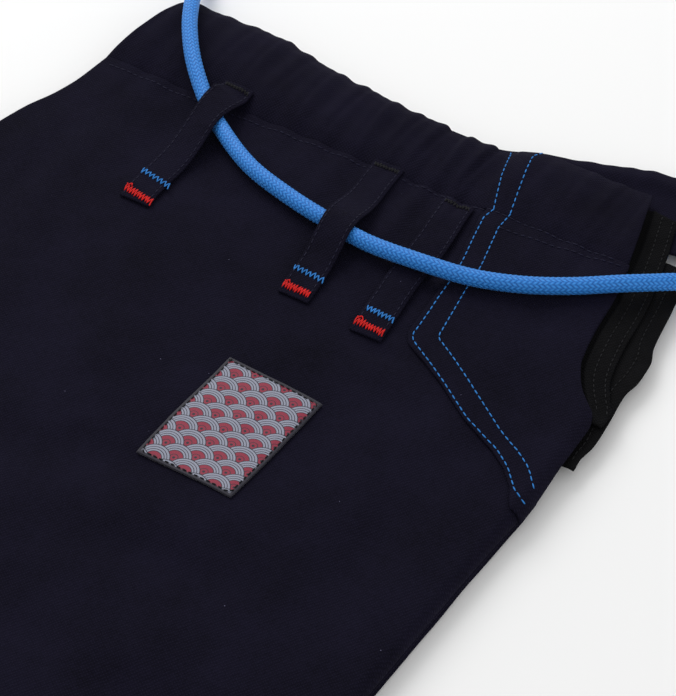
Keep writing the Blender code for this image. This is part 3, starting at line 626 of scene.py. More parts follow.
def make_object(name: str, points: np.ndarray, faces: np.ndarray, finish: bpy.types.Material,
                uv: np.ndarray | None = None) -> bpy.types.Object:
    """Make a mesh object at the origin from points in millimetres.

    Args:
        name: The object's name.
        points: One row for each point.
        faces: Rows of point numbers, outward side first.
        finish: Its material.
        uv: Two numbers for each point, for a map called woven.

    Returns:
        The object.
    """
    mesh = bpy.data.meshes.new(name)
    mesh.from_pydata((points * MM).tolist(), [], faces.tolist())
    if uv is not None:
        layer = mesh.uv_layers.new(name="woven")
        corners = np.empty(len(mesh.loops), np.int32)
        mesh.loops.foreach_get("vertex_index", corners)
        layer.data.foreach_set("uv", uv[corners].astype(np.float32).ravel())
    mesh.shade_smooth()
    mesh.materials.append(finish)
    made = bpy.data.objects.new(name, mesh)
    bpy.context.scene.collection.objects.link(made)
    return made


def unit(vectors: np.ndarray) -> np.ndarray:
    """Scale vectors to length 1, along their last axis."""
    return vectors / np.maximum(np.linalg.norm(vectors, axis=-1, keepdims=True), 1e-9)


def grid_normals(grid: np.ndarray) -> np.ndarray:
    """Outward direction at each point of a grid whose rows go down and columns go across."""
    return unit(np.cross(np.gradient(grid, axis=0), np.gradient(grid, axis=1)))


def cloth_shell(name: str, grid: np.ndarray, thickness: float, finish: bpy.types.Material,
                uv: np.ndarray | None = None, bulge: float = 0.5) -> bpy.types.Object:
    """Make a closed shell of cloth with softly rounded edges, from its outer face inwards.

    Args:
        name: The object's name.
        grid: Rows down, columns across and three coordinates.
        thickness: The cloth's thickness.
        finish: Its material.
        uv: Optional map with the grid's shape and two numbers.
        bulge: How far the edge rounds out, as a share of the thickness.

    Returns:
        The object.
    """
    rows, columns = grid.shape[:2]
    normals = grid_normals(grid)
    number = np.arange(rows * columns).reshape(rows, columns)
    back = number + rows * columns
    rim = np.concatenate([number[0, :-1], number[:-1, -1], number[-1, :0:-1], number[:0:-1, 0]])
    outward = np.zeros_like(grid)
    outward[0] -= unit(grid[1] - grid[0])
    outward[-1] += unit(grid[-1] - grid[-2])
    outward[:, 0] -= unit(grid[:, 1] - grid[:, 0])
    outward[:, -1] += unit(grid[:, -1] - grid[:, -2])
    flat_grid, flat_normals = grid.reshape(-1, 3), normals.reshape(-1, 3)
    away = unit(outward.reshape(-1, 3)[rim])
    parts = [flat_grid, flat_grid - flat_normals * thickness]
    rings = [rim]
    count = 2 * rows * columns
    for angle in (45.0, 0.0, -45.0):
        turn = math.radians(angle)
        sunk = flat_normals[rim] * (0.5 * thickness * (1.0 - math.sin(turn)))
        parts.append(flat_grid[rim] - sunk + away * (bulge * thickness * math.cos(turn)))
        rings.append(np.arange(count, count + len(rim)))
        count += len(rim)
    rings.append(rim + rows * columns)
    a, b, c, d = number[:-1, :-1], number[:-1, 1:], number[1:, 1:], number[1:, :-1]
    faces = [np.stack([a, d, c, b], -1).reshape(-1, 4)]
    a, b, c, d = back[:-1, :-1], back[:-1, 1:], back[1:, 1:], back[1:, :-1]
    faces.append(np.stack([a, b, c, d], -1).reshape(-1, 4))
    for upper, lower in zip(rings, rings[1:]):
        faces.append(np.stack([upper, np.roll(upper, -1), np.roll(lower, -1), lower], -1))
    flat_uv = None
    if uv is not None:
        face_uv = uv.reshape(-1, 2)
        flat_uv = np.concatenate([face_uv, face_uv, face_uv[rim], face_uv[rim], face_uv[rim]])
    return make_object(name, np.concatenate(parts), np.concatenate(faces), finish, flat_uv)


def smooth_route(route: Table, count: int) -> np.ndarray:
    """Give evenly spaced points on a smooth curve through a route's own points.

    Args:
        route: Rows of across, drop and height.
        count: How many points to give.

    Returns:
        One row for each point, in part coordinates.
    """
    knots = np.array([(x, SEAM_Y - drop, z) for x, drop, z in route])
    ends = np.vstack([2 * knots[0] - knots[1], knots, 2 * knots[-1] - knots[-2]])
    t = (np.arange(20) / 20.0)[:, None]
    parts = []
    for a, b, c, d in zip(ends, ends[1:], ends[2:], ends[3:]):
        parts.append(0.5 * (2 * b + (c - a) * t + (2 * a - 5 * b + 4 * c - d) * t**2
                            + (3 * b - 3 * c + d - a) * t**3))
    dense = np.vstack([*parts, knots[-1:]])
    reach = np.concatenate([[0.0], np.cumsum(np.linalg.norm(np.diff(dense, axis=0), axis=1))])
    targets = np.linspace(0.0, reach[-1], count)
    return np.stack([np.interp(targets, reach, dense[:, k]) for k in range(3)], -1)


@dataclass
class LaidCloth:
    """The form of the left leg's cloth as it lies, which every piece sewn on it follows."""

    gather_reach: float = 24.0
    gather_share: float = 0.8
    fine_gather_share: float = 1.6
    crease_share: float = 1.5
    swell_size: float = 52.0
    swell_height: float = 0.3
    ruffle_size: float = 15.0
    ruffle_height: float = 0.07

    def gathers(self, across: np.ndarray, table: Table) -> np.ndarray:
        """How far the gathers of a waistband dip at each place along it."""
        return sum(row[2] * np.exp(-(((across - row[0]) / row[1]) ** 2)) for row in table)

    def relief(self, across: np.ndarray, drop: np.ndarray) -> np.ndarray:
        """Height that ridges, creases and gathers add to the flat front.

        Args:
            across: Places along X.
            drop: Drops of the same places.

        Returns:
            The height at each place.
        """
        total = crease_height(across, drop, PANEL_RIDGES)
        total += self.crease_share * crease_height(across, drop, FINE_CREASES)
        fade = np.where(drop >= 0.0, np.exp(-np.maximum(drop, 0.0) / self.gather_reach),
                        np.exp(np.minimum(drop, 0.0) / 9.0))
        total -= self.gather_share * self.gathers(across, FRONT_GATHERS) * fade
        total += self.swell_height * unevenness(across, drop, self.swell_size, 5)
        total += self.ruffle_height * unevenness(across, drop, self.ruffle_size, 11)
        inset = np.minimum(across - smooth(LEFT_EDGE, drop), smooth(RIGHT_EDGE, drop) - across)
        return total * np.clip((inset - ROLL_WIDTH) / 15.0, 0.0, 1.0)

    def points(self, across: np.ndarray, drop: np.ndarray) -> np.ndarray:
        """Points on the front's outer face. Past either fold, across is measured round the fold.

        Args:
            across: Places along X.
            drop: Drops of the same places.

        Returns:
            Three coordinates for each place.
        """
        across, drop = np.broadcast_arrays(np.asarray(across, float), np.asarray(drop, float))
        left = smooth(LEFT_EDGE, drop) + ROLL_WIDTH
        right = smooth(RIGHT_EDGE, drop) - ROLL_WIDTH
        left_depth, right_depth = smooth(LEFT_ROLL, drop), smooth(RIGHT_ROLL, drop)
        left_turn = np.clip((left - across) / roll_length(left_depth), 0.0, 1.0) * FULL_TURN
        last = np.arccos(np.clip(1.0 - right_depth / LEG_ROLL, -1.0, 1.0))
        last = np.where(right_depth > 0.98 * LEG_ROLL, FULL_TURN, last)
        right_turn = np.maximum(across - right, 0.0) / roll_length(right_depth) * last
        over = ROLL_WIDTH * np.sin(right_turn) / np.sin(np.minimum(last, 0.5 * math.pi))
        x = np.where(across < left, left - ROLL_WIDTH * np.sin(left_turn), across)
        x = np.where(across > right, right + over, x)
        z = PANEL_TOP + self.relief(across, drop)
        z = np.where(across < left, PANEL_TOP - left_depth * (1.0 - np.cos(left_turn)), z)
        z = np.where(across > right, PANEL_TOP - LEG_ROLL * (1.0 - np.cos(right_turn)), z)
        return np.stack([x, SEAM_Y - drop, z], -1)

    def lifted(self, across: np.ndarray, drop: np.ndarray, lift: np.ndarray | float) -> np.ndarray:
        """Points over the front, moved out along the cloth's own direction.

        Args:
            across: Places along X.
            drop: Drops of the same places.
            lift: How far out.

        Returns:
            Three coordinates for each place.
        """
        step = 0.5
        across, drop = np.asarray(across, float), np.asarray(drop, float)
        along = self.points(across + step, drop) - self.points(across - step, drop)
        down = self.points(across, drop + step) - self.points(across, drop - step)
        return self.points(across, drop) + unit(np.cross(down, along)) * np.asarray(lift)[..., None]

    def band(self, across: np.ndarray, up_share: np.ndarray) -> np.ndarray:
        """Points on the front waistband's outer face.

        Args:
            across: Places along X.
            up_share: How far up the band, from 0 at its seam to 1 at its top edge.

        Returns:
            Three coordinates for each place.
        """
        across, up_share = np.broadcast_arrays(np.asarray(across, float), np.asarray(up_share, float))
        width = smooth(BAND_PROFILE, across)
        swell = smooth(BAND_PROFILE, across, 2)
        left = smooth(LEFT_EDGE, -width * up_share) + ROLL_WIDTH
        round_fold = np.clip(1.0 - (left - across) / 12.0, 0.0, 1.0)
        dip = self.gathers(across, FRONT_GATHERS)
        fine = np.zeros_like(across)
        for place, half_width, depth, lean in FINE_GATHERS:
            away = (across - place - lean * up_share) / half_width
            fine += self.fine_gather_share * depth * np.exp(-(away**2))
        point = self.points(across, -(0.5 * GAP + (width - 0.6 * dip - 0.5 * fine) * up_share))
        arch = np.sin(0.5 * math.pi * np.minimum(1.0, up_share * 1.6)) * (1.0 - 0.65 * up_share**4)
        swell_share = smooth(BAND_SECTION, up_share)
        point[..., 2] += (GAP + OVERLAY_CLOTH) * ease((across - 82.0) / 10.0)
        point[..., 2] += round_fold * (swell * swell_share - (dip + fine) * arch)
        return point

    def top(self, across: np.ndarray, drop: np.ndarray, lift: float) -> np.ndarray:
        """Points over whatever cloth is uppermost: waistband, hip panel or front.

        Args:
            across: Places along X.
            drop: Drops of the same places.
            lift: How far over it.

        Returns:
            Three coordinates for each place.
        """
        across, drop = np.broadcast_arrays(np.asarray(across, float), np.asarray(drop, float))
        width = smooth(BAND_PROFILE, across)
        on_band = self.band(across, np.clip(-drop / width, 0.0, 0.97))
        on_band[..., 2] += lift
        over_hip = (drop < 148.0) & (across > straight(HIP_EDGE, np.maximum(drop, 0.0)) - 0.4)
        below = self.lifted(across, drop, lift + np.where(over_hip, GAP + OVERLAY_CLOTH, 0.0))
        return np.where((drop < -GAP)[..., None], on_band, below)


def polyline(knots: Sequence[tuple[float, float]], step: float = 1.0) -> np.ndarray:
    """Give evenly spaced places along straight runs between knots.

    Args:
        knots: Across and drop of each knot.
        step: Distance between places.

    Returns:
        Across and drop of each place.
    """
    places = np.array(knots, float)
    reach = np.concatenate([[0.0], np.cumsum(np.linalg.norm(np.diff(places, axis=0), axis=1))])
    targets = np.linspace(0.0, reach[-1], max(2, round(reach[-1] / step) + 1))
    return np.stack([np.interp(targets, reach, places[:, k]) for k in range(2)], -1)


class SewingRoom:
    """Makes stitches and bar tacks with Geometry Nodes, from lines that lie on the cloth."""

    def __init__(self) -> None:
        """Make the threads' materials and both node trees."""
        self.threads = {yarn: SpunThread(yarn).material() for yarn in Yarn}
        self.row_tree = self._row_tree()
        self.thread_tree = self._thread_tree()

    def _row_tree(self) -> bpy.types.NodeTree:
        """Build the tree that sets stitches along lines."""
        tree = bpy.data.node_groups.new("stitch_rows", "GeometryNodeTree")
        tree.interface.new_socket("Lines", in_out="INPUT", socket_type="NodeSocketGeometry")
        for name, kind in (("Pitch", "Float"), ("Stitch Length", "Float"), ("Thread Width", "Float"),
                           ("Lean", "Float"), ("Seed", "Int"), ("Thread", "Material")):
            tree.interface.new_socket(name, in_out="INPUT", socket_type="NodeSocket" + kind)
        tree.interface.new_socket("Stitches", in_out="OUTPUT", socket_type="NodeSocketGeometry")
        given = add(tree, "NodeGroupInput").outputs
        curve = add(tree, "GeometryNodeMeshToCurve", {0: given["Lines"]})
        even = add(tree, "GeometryNodeResampleCurve", {"Curve": curve.outputs[0], "Length": given["Pitch"]},
                   mode="LENGTH")
        bead = add(tree, "GeometryNodeMeshUVSphere", {"Segments": 8, "Rings": 6, "Radius": 0.5})
        size = add(tree, "ShaderNodeCombineXYZ", {0: given["Stitch Length"], 1: given["Thread Width"],
                                                  2: given["Thread Width"]})
        stitch = add(tree, "GeometryNodeTransform", {"Geometry": bead.outputs[0], "Scale": size.outputs[0]})
        along = add(tree, "FunctionNodeAlignRotationToVector", {
            "Vector": add(tree, "GeometryNodeInputTangent").outputs[0]}, axis="X")
        less = add(tree, "ShaderNodeMath", {0: given["Lean"], 1: -1.0}, operation="MULTIPLY")
        tilt = add(tree, "FunctionNodeRandomValue", {2: less.outputs[0], 3: given["Lean"],
                                                     "Seed": given["Seed"]}, data_type="FLOAT")
        turn = add(tree, "ShaderNodeCombineXYZ", {2: tilt.outputs[1]})
        placed = add(tree, "GeometryNodeInstanceOnPoints", {
            "Points": even.outputs[0], "Instance": stitch.outputs[0], "Rotation": along.outputs[0]})
        leaning = add(tree, "GeometryNodeRotateInstances", {"Instances": placed.outputs[0],
                                                            "Rotation": turn.outputs[0]})
        solid = add(tree, "GeometryNodeRealizeInstances", {0: leaning.outputs[0]})
        smoothed = add(tree, "GeometryNodeSetShadeSmooth", {0: solid.outputs[0]})
        dyed = add(tree, "GeometryNodeSetMaterial", {"Geometry": smoothed.outputs[0],
                                                     "Material": given["Thread"]})
        add(tree, "NodeGroupOutput", {0: dyed.outputs[0]})
        return tree

    def _thread_tree(self) -> bpy.types.NodeTree:
        """Build the tree that lays thread along lines."""
        tree = bpy.data.node_groups.new("laid_thread", "GeometryNodeTree")
        tree.interface.new_socket("Lines", in_out="INPUT", socket_type="NodeSocketGeometry")
        for name, kind in (("Thread Width", "Float"), ("Thread", "Material")):
            tree.interface.new_socket(name, in_out="INPUT", socket_type="NodeSocket" + kind)
        tree.interface.new_socket("Thread Run", in_out="OUTPUT", socket_type="NodeSocketGeometry")
        given = add(tree, "NodeGroupInput").outputs
        curve = add(tree, "GeometryNodeMeshToCurve", {0: given["Lines"]})
        half = add(tree, "ShaderNodeMath", {0: given["Thread Width"], 1: 0.5}, operation="MULTIPLY")
        ring = add(tree, "GeometryNodeCurvePrimitiveCircle", {"Resolution": 6, "Radius": half.outputs[0]})
        tube = add(tree, "GeometryNodeCurveToMesh", {0: curve.outputs[0], 1: ring.outputs[0],
                                                     "Fill Caps": True})
        solid = add(tree, "GeometryNodeRealizeInstances", {0: tube.outputs[0]})
        smoothed = add(tree, "GeometryNodeSetShadeSmooth", {0: solid.outputs[0]})
        dyed = add(tree, "GeometryNodeSetMaterial", {"Geometry": smoothed.outputs[0],
                                                     "Material": given["Thread"]})
        add(tree, "NodeGroupOutput", {0: dyed.outputs[0]})
        return tree

    def _grow(self, name: str, lines: Sequence[np.ndarray], tree: bpy.types.NodeTree,
              values: dict[str, object]) -> bpy.types.Object:
        """Run a tree on lines and keep the result as a plain mesh.

        Args:
            name: The piece's name.
            lines: Points of each line, in millimetres.
            tree: The node tree.
            values: Its inputs by name.

        Returns:
            The finished object.
        """
        points = np.concatenate(lines) * MM
        edges, start = [], 0
        for line in lines:
            edges += [(start + k, start + k + 1) for k in range(len(line) - 1)]
            start += len(line)
        mesh = bpy.data.meshes.new(name)
        mesh.from_pydata(points.tolist(), edges, [])
        source = bpy.data.objects.new(name + "_lines", mesh)
        bpy.context.scene.collection.objects.link(source)
        modifier = source.modifiers.new("sew", "NODES")
        modifier.node_group = tree
        for item in tree.interface.items_tree:
            if item.in_out == "INPUT" and item.name in values:
                modifier[item.identifier] = values[item.name]
        found = source.evaluated_get(bpy.context.evaluated_depsgraph_get())
        plain = bpy.data.meshes.new_from_object(found)
        source.modifiers.remove(modifier)
        bpy.data.objects.remove(source)
        plain.name = name
        made = bpy.data.objects.new(name, plain)
        bpy.context.scene.collection.objects.link(made)
        return made

    def rows(self, name: str, lines: Sequence[np.ndarray], yarn: Yarn, slot: str, pitch: float = 3.4,
             length: float = 2.7, width: float = 0.62, lean: float = 0.05, seed: int = 1) -> bpy.types.Object:
        """Sew rows of lockstitch.

        Args:
            name: The piece's name.
            lines: Points of each row.
            yarn: Which thread.
            slot: Not used.
            pitch: Distance from stitch to stitch.
            length: Length of one stitch.
            width: Thickness of the thread.
            lean: Most that a stitch turns out of line, in radians.
            seed: Seed of that unevenness.

        Returns:
            The finished object.
        """
        made = self._grow(name, lines, self.row_tree, {
            "Pitch": pitch * MM, "Stitch Length": length * MM, "Thread Width": width * MM, "Lean": lean,
            "Seed": seed, "Thread": self.threads[yarn]})
        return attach(made, "root")

    def runs(self, name: str, lines: Sequence[np.ndarray], yarn: Yarn,
             width: float = 0.55) -> bpy.types.Object:
        """Lay thread along lines, as in a bar tack.

        Args:
            name: The piece's name.
            lines: Points of each line.
            yarn: Which thread.
            width: Thickness of the thread.

        Returns:
            The finished object.
        """
        made = self._grow(name, lines, self.thread_tree, {"Thread Width": width * MM,
                                                          "Thread": self.threads[yarn]})
        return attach(made, "root")


@dataclass
class Declared:
    piece: bpy.types.Object
    nodes: tuple[str, ...]
    slot: str
    flat: tuple[float, float]
    area: float
    held: str
    rests_on: tuple[str, ...]
    sewing: list[bpy.types.Object] = field(default_factory=list)

    def declare(self) -> None:
        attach(self.piece, "root")
        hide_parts(*self.nodes)
        report(self.piece)


def triangles(piece: bpy.types.Object) -> int:
    """Count a mesh's triangles."""
    piece.data.calc_loop_triangles()
    return len(piece.data.loop_triangles)


def report(piece: bpy.types.Object) -> None:
    """Log a piece's name, size and triangles."""
    corners = np.array([corner[:] for corner in piece.bound_box])
    size = (corners.max(0) - corners.min(0)) / MM
    LOG.info("%s: %.0f x %.0f x %.1f mm, %d triangles", piece.name, *size, triangles(piece))


@dataclass
class FrontPanel:
    """The left leg's front, from the waist seam to the hem, turned under along both folds."""

    cloth: LaidCloth
    finish: bpy.types.Material
    rolled_columns: int = 11
    flat_columns: int = 156
    hem_rows: tuple[float, float] = (22.0, 26.0)

    def rows(self) -> np.ndarray:
        """Drops of the grid's rows, close together in the part that the picture shows."""
        return np.concatenate([np.linspace(0.5 * GAP, 300.0, 172, endpoint=False),
                               np.linspace(300.0, HEM_DROP, 78)])

    def build(self) -> bpy.types.Object:
        """Build the cloth."""
        drop = self.rows()[:, None]
        left = smooth(LEFT_EDGE, drop) + ROLL_WIDTH
        right = smooth(RIGHT_EDGE, drop) - ROLL_WIDTH
        start = left - roll_length(smooth(LEFT_ROLL, drop))
        end = right + roll_length(smooth(RIGHT_ROLL, drop))
        rolled = np.linspace(0.0, 1.0, self.rolled_columns, endpoint=False)
        flat = np.linspace(0.0, 1.0, self.flat_columns, endpoint=False)
        across = np.concatenate([start + (left - start) * rolled, left + (right - left) * flat,
                                 right + (end - right) * np.linspace(0.0, 1.0, self.rolled_columns)], 1)
        grid = self.cloth.points(across, np.broadcast_to(drop, across.shape))
        return cloth_shell("left_front", grid, CLOTH, self.finish)

    def sew(self, room: SewingRoom) -> list[bpy.types.Object]:
        """Sew the casing's row left of the hip panel, the hem and the inseam."""
        lift = 0.16
        seam = polyline(((-113.0, 5.2), (-60.0, 4.6), (-9.4, 3.8), (53.9, 2.1), (86.5, 1.0)))
        casing = [self.cloth.lifted(seam[:, 0], seam[:, 1], lift)]
        hem = []
        for above in self.hem_rows:
            drop = HEM_DROP - above
            line = polyline(((float(smooth(LEFT_EDGE, drop)) + 1.0, drop),
                             (float(smooth(RIGHT_EDGE, drop)) - 1.0, drop)))
            hem.append(self.cloth.lifted(line[:, 0], line[:, 1], lift))
        drops = np.linspace(CROTCH_DROP + 10.0, HEM_DROP - 4.0, 320)
        inseam = [self.cloth.lifted(smooth(LEFT_EDGE, drops) + inset, drops, lift) for inset in (7.0, 13.0)]
        return [
            room.rows("casing_row_front", casing, Yarn.NAVY, "navy_cotton", seed=3),
            room.rows("hem_rows", hem, Yarn.NAVY, "navy_cotton", seed=4),
            room.rows("inseam_rows", inseam, Yarn.NAVY, "navy_cotton", seed=6),
        ]


@dataclass
class HipPanel:
    """The panel over the hip, sewn down with two rows of blue thread and turned round the side."""

    cloth: LaidCloth
    finish: bpy.types.Material
    lift: float = GAP + OVERLAY_CLOTH
    outer_row: tuple[tuple[float, float], ...] = (
        (91.4, 0.8), (90.5, 6.9), (96.8, 37.3), (98.4, 50.4), (101.4, 86.8), (103.6, 89.9),
        (125.7, 103.6), (144.7, 116.6), (162.8, 124.4), (171.4, 131.0), (179.8, 140.4), (184.1, 142.9))
    inner_row: tuple[tuple[float, float], ...] = (
        (99.2, -0.6), (99.3, 9.9), (105.0, 35.1), (106.2, 47.7), (111.1, 82.3), (135.2, 98.4),
        (156.7, 113.4), (170.2, 121.1), (176.0, 125.1), (179.1, 127.5), (183.9, 133.9))

    def build(self) -> bpy.types.Object:
        """Build the cloth."""
        drop = np.linspace(GAP, 148.4, 118)[:, None]
        right = smooth(RIGHT_EDGE, drop) - ROLL_WIDTH
        start = straight(HIP_EDGE, drop)
        end = right + roll_length(smooth(RIGHT_ROLL, drop))
        middle = np.maximum(right, start + 0.3 * (end - start))
        across = np.concatenate([start + (middle - start) * np.linspace(0.0, 1.0, 64, endpoint=False),
                                 middle + (end - middle) * np.linspace(0.0, 1.0, 12)], 1)
        grid = self.cloth.lifted(across, np.broadcast_to(drop, across.shape), self.lift)
        return cloth_shell("left_hip", grid, OVERLAY_CLOTH, self.finish, bulge=0.35)

    def sew(self, room: SewingRoom) -> list[bpy.types.Object]:
        """Sew the blue rows and the casing's two rows of navy thread."""
        lift = self.lift + 0.18
        blue = []
        for knots in (self.outer_row, self.inner_row):
            line = polyline(knots)
            blue.append(self.cloth.lifted(line[:, 0], line[:, 1], lift))
        casing = []
        for knots in (((90.6, 0.8), (99.5, 0.9), (150.5, 1.2)), ((100.4, 9.2), (155.0, 3.4))):
            line = polyline(knots)
            casing.append(self.cloth.lifted(line[:, 0], line[:, 1], lift))
        return [
            room.rows("blue_rows_hip", blue, Yarn.BLUE, "braided_cord", seed=8),
            room.rows("casing_rows_hip", casing, Yarn.NAVY, "navy_cotton", seed=9),
        ]


@dataclass
class FrontWaistband:
    """The gathered casing along the waist, from the centre-front fold to the slit."""

    cloth: LaidCloth
    finish: bpy.types.Material
    columns: int = 400
    outer_row: tuple[tuple[float, float], ...] = ((78.2, -42.0), (79.4, -38.7), (84.2, -20.5), (91.2, -0.8))
    inner_row: tuple[tuple[float, float], ...] = (
        (91.4, -44.6), (90.1, -38.8), (93.0, -26.0), (99.0, -2.2))

    def build(self) -> bpy.types.Object:
        """Build the cloth."""
        up_share = np.concatenate([np.linspace(1.0, 0.86, 12, endpoint=False),
                                   np.linspace(0.86, 0.0, 34)])[:, None]
        start = smooth(LEFT_EDGE, -46.0 * up_share) + ROLL_WIDTH - roll_length(FOLD_ROLL)
        end = smooth(RIGHT_EDGE, -46.0 * up_share)
        share = np.linspace(0.0, 1.0, self.columns)
        across = start + (end - start) * share
        grid = self.cloth.band(across, np.broadcast_to(up_share, across.shape))
        return cloth_shell("front_band", grid, CLOTH, self.finish)

    def sew(self, room: SewingRoom) -> list[bpy.types.Object]:
        """Sew the ends of the blue rows up the band."""
        blue = []
        for knots in (self.outer_row, self.inner_row):
            line = polyline(knots)
            blue.append(self.cloth.top(line[:, 0], line[:, 1], 0.2))
        return [room.rows("blue_rows_band", blue, Yarn.BLUE, "braided_cord", seed=12)]


@dataclass
class BackWaistband:
    """The back casing, which rises behind the front one and opens in a mouth at the slit."""

    finish: bpy.types.Material
    columns: int = 300

    def build(self) -> bpy.types.Object:
        """Build the cloth."""
        low = LEG_LAYER_TOP + GAP + CLOTH
        up_share = np.concatenate([np.linspace(1.0, 0.8, 12, endpoint=False),
                                   np.linspace(0.8, 0.0, 22)])[:, None]
        across = np.linspace(BACK_BAND[0][0], BACK_BAND[-1][0], self.columns)[None, :]
        mouth = np.clip((across - 167.0) / 12.0, 0.0, 1.0)
        covered, opened = smooth(BACK_SECTION, up_share), smooth(BACK_SECTION, up_share, 2)
        swell_share = covered + (opened - covered) * mouth
        upper, width, swell = (smooth(BACK_BAND, across, column) for column in (1, 2, 3))
        dip = sum(depth * np.exp(-(((across - x) / half) ** 2)) for x, half, depth in BACK_GATHERS)
        fine = 0.35 * unevenness(across, 0.4 * width * up_share, 9.0, 21)
        fine = fine * np.clip((across - 84.0) / 20.0, 0.0, 1.0)
        drop = upper + width * (1.0 - up_share) + (0.7 * dip - fine) * up_share
        height = low + swell_share * (swell - 0.5 * (dip - fine) * np.minimum(1.0, swell / 3.0))
        x = np.broadcast_to(across, drop.shape)
        grid = np.stack([x, SEAM_Y - drop, height], -1)
        return cloth_shell("back_band", grid, CLOTH, self.finish, bulge=0.35)


@dataclass
class BeltLoop:
    """A flat strap tacked down at both ends, with room for the drawstring under it where it passes."""

    name: str
    node: str
    top: tuple[float, float]
    foot: tuple[float, float]
    over_cord: bool
    blue_tack: tuple[float, float, float, float]
    red_tack: tuple[float, float, float, float]
    seed: int
    width: float = 15.5
    stand_off: float = 0.9
    hump: float = 16.0
    rows: int = 120
    columns: int = 15
    soft_rows: int = 9
    tack_bow: float = 0.42
    surface: np.ndarray = field(init=False, repr=False)

    def heights(self, cloth: LaidCloth, x: np.ndarray, drop: np.ndarray, share: np.ndarray,
                cord: np.ndarray) -> np.ndarray:
        """Heights of the strap's outer face.

        Args:
            cloth: The cloth under it.
            x: Places along X.
            drop: Drops of the same places.
            share: How far along the strap each place is.
            cord: Points on the drawstring's middle.

        Returns:
            The heights.
        """
        near_end = np.clip(np.minimum(share, 1.0 - share) * 9.0, 0.0, 1.0)
        under = [cloth.top(x + nudge, drop, 0.0)[..., 2] for nudge in (-2.5, 0.0, 2.5)]
        height = np.maximum.reduce(under) + GAP + self.stand_off * near_end
        if self.over_cord:
            place = np.stack([x, SEAM_Y - drop], -1)
            gaps = np.linalg.norm(place[..., None, :] - cord[:, :2], axis=-1)
            away = gaps.min(-1) / self.hump
            lift = cord[:, 2][gaps.argmin(-1)] + 0.5 * CORD + 2.0 * GAP - height
            height = height + np.maximum(0.0, lift) * np.exp(-(away**2)) * near_end
        return height + OVERLAY_CLOTH

    def build(self, cloth: LaidCloth, cord: np.ndarray, finish: bpy.types.Material) -> bpy.types.Object:
        """Build the strap.

        Args:
            cloth: The cloth under it.
            cord: Points on the drawstring's middle.
            finish: Its material.

        Returns:
            The object.
        """
        share = np.linspace(0.0, 1.0, self.rows)[:, None]
        side = np.linspace(-0.5, 0.5, self.columns)[None, :] * (self.width - 0.8)
        share, side = np.broadcast_arrays(share, side)
        sway = 0.5 * unevenness(share * 60.0, np.zeros_like(share), 40.0, self.seed)
        x = self.top[0] + (self.foot[0] - self.top[0]) * share + side + sway
        drop = self.top[1] + (self.foot[1] - self.top[1]) * share
        height = self.heights(cloth, x, drop, share, cord)
        kernel = np.hanning(self.soft_rows) / np.hanning(self.soft_rows).sum()
        pad = self.soft_rows // 2
        soft = np.apply_along_axis(lambda line: np.convolve(np.pad(line, pad, mode="edge"), kernel, "valid"),
                                   0, height)
        crown = 0.35 * (1.0 - (side / (0.5 * self.width)) ** 4) - 0.2
        rumple = 0.12 * unevenness(x, drop, 11.0, self.seed + 30)
        grid = np.stack([x, SEAM_Y - drop, np.maximum(soft, height - 0.2) + crown + rumple], -1)
        self.surface = grid
        return cloth_shell(self.name, grid, OVERLAY_CLOTH, finish, bulge=0.45)

    def height_at(self, x: float, drop: float) -> float:
        """Height of the finished strap nearest to a place."""
        flat = self.surface.reshape(-1, 3)
        away = np.hypot(flat[:, 0] - x, flat[:, 1] - (SEAM_Y - drop))
        return float(flat[away.argmin(), 2])

    def tack(self, ends: tuple[float, float, float, float], tall: float, strokes: int,
             seed: int) -> np.ndarray:
        """Give the zigzag line of one bar tack.

        Args:
            ends: Across and drop of its left end, then of its right end.
            tall: Its height along the strap.
            strokes: How many times the thread crosses.
            seed: Seed of its unevenness.

        Returns:
            Points on the thread's middle.
        """
        rng = np.random.default_rng(seed)
        x0, d0, x1, d1 = ends
        points = []
        for k in range(strokes + 1):
            share = k / strokes
            side = 0.5 if k % 2 else -0.5
            x = x0 + (x1 - x0) * share + rng.uniform(-0.25, 0.25)
            drop = d0 + (d1 - d0) * share + side * tall * rng.uniform(0.8, 1.12)
            low = self.height_at(x, drop) + 0.05
            if points:
                before = points[-1]
                for step in (0.25, 0.5, 0.75):
                    mid = before + (np.array([x, SEAM_Y - drop, low]) - before) * step
                    over = 0.1 + self.tack_bow * math.sin(math.pi * step)
                    mid[2] = self.height_at(mid[0], SEAM_Y - mid[1]) + over
                    points.append(mid)
            points.append(np.array([x, SEAM_Y - drop, low]))
        return np.array(points)

    def sew(self, room: SewingRoom) -> list[bpy.types.Object]:
        """Sew the strap's edges and its three bar tacks."""
        grid = self.surface
        edge = [grid[3:-3, column] + np.array([0.0, 0.0, 0.14]) for column in (1, -2)]
        x0, x1 = grid[3, 1, 0], grid[3, -2, 0]
        top_tack = self.tack((x0, self.top[1] + 2.6, x1, self.top[1] + 2.6), 2.6, 17, self.seed + 3)
        loose = self.tack((self.red_tack[0] - 0.2, self.red_tack[1] - 1.6,
                           self.red_tack[0] + 2.4, self.red_tack[1] - 2.6), 1.5, 3, self.seed + 4)
        return [
            room.rows(self.name + "_edge_rows", edge, Yarn.NAVY, "navy_cotton", width=0.5, seed=self.seed),
            room.runs(self.name + "_blue_tack", [self.tack(self.blue_tack, 3.2, 15, self.seed + 1)],
                      Yarn.BLUE, width=0.6),
            room.runs(self.name + "_red_tack", [self.tack(self.red_tack, 4.0, 21, self.seed + 2), loose],
                      Yarn.RED, width=0.62),
            room.runs(self.name + "_top_tack", [top_tack], Yarn.BLACK, width=0.5),
        ]


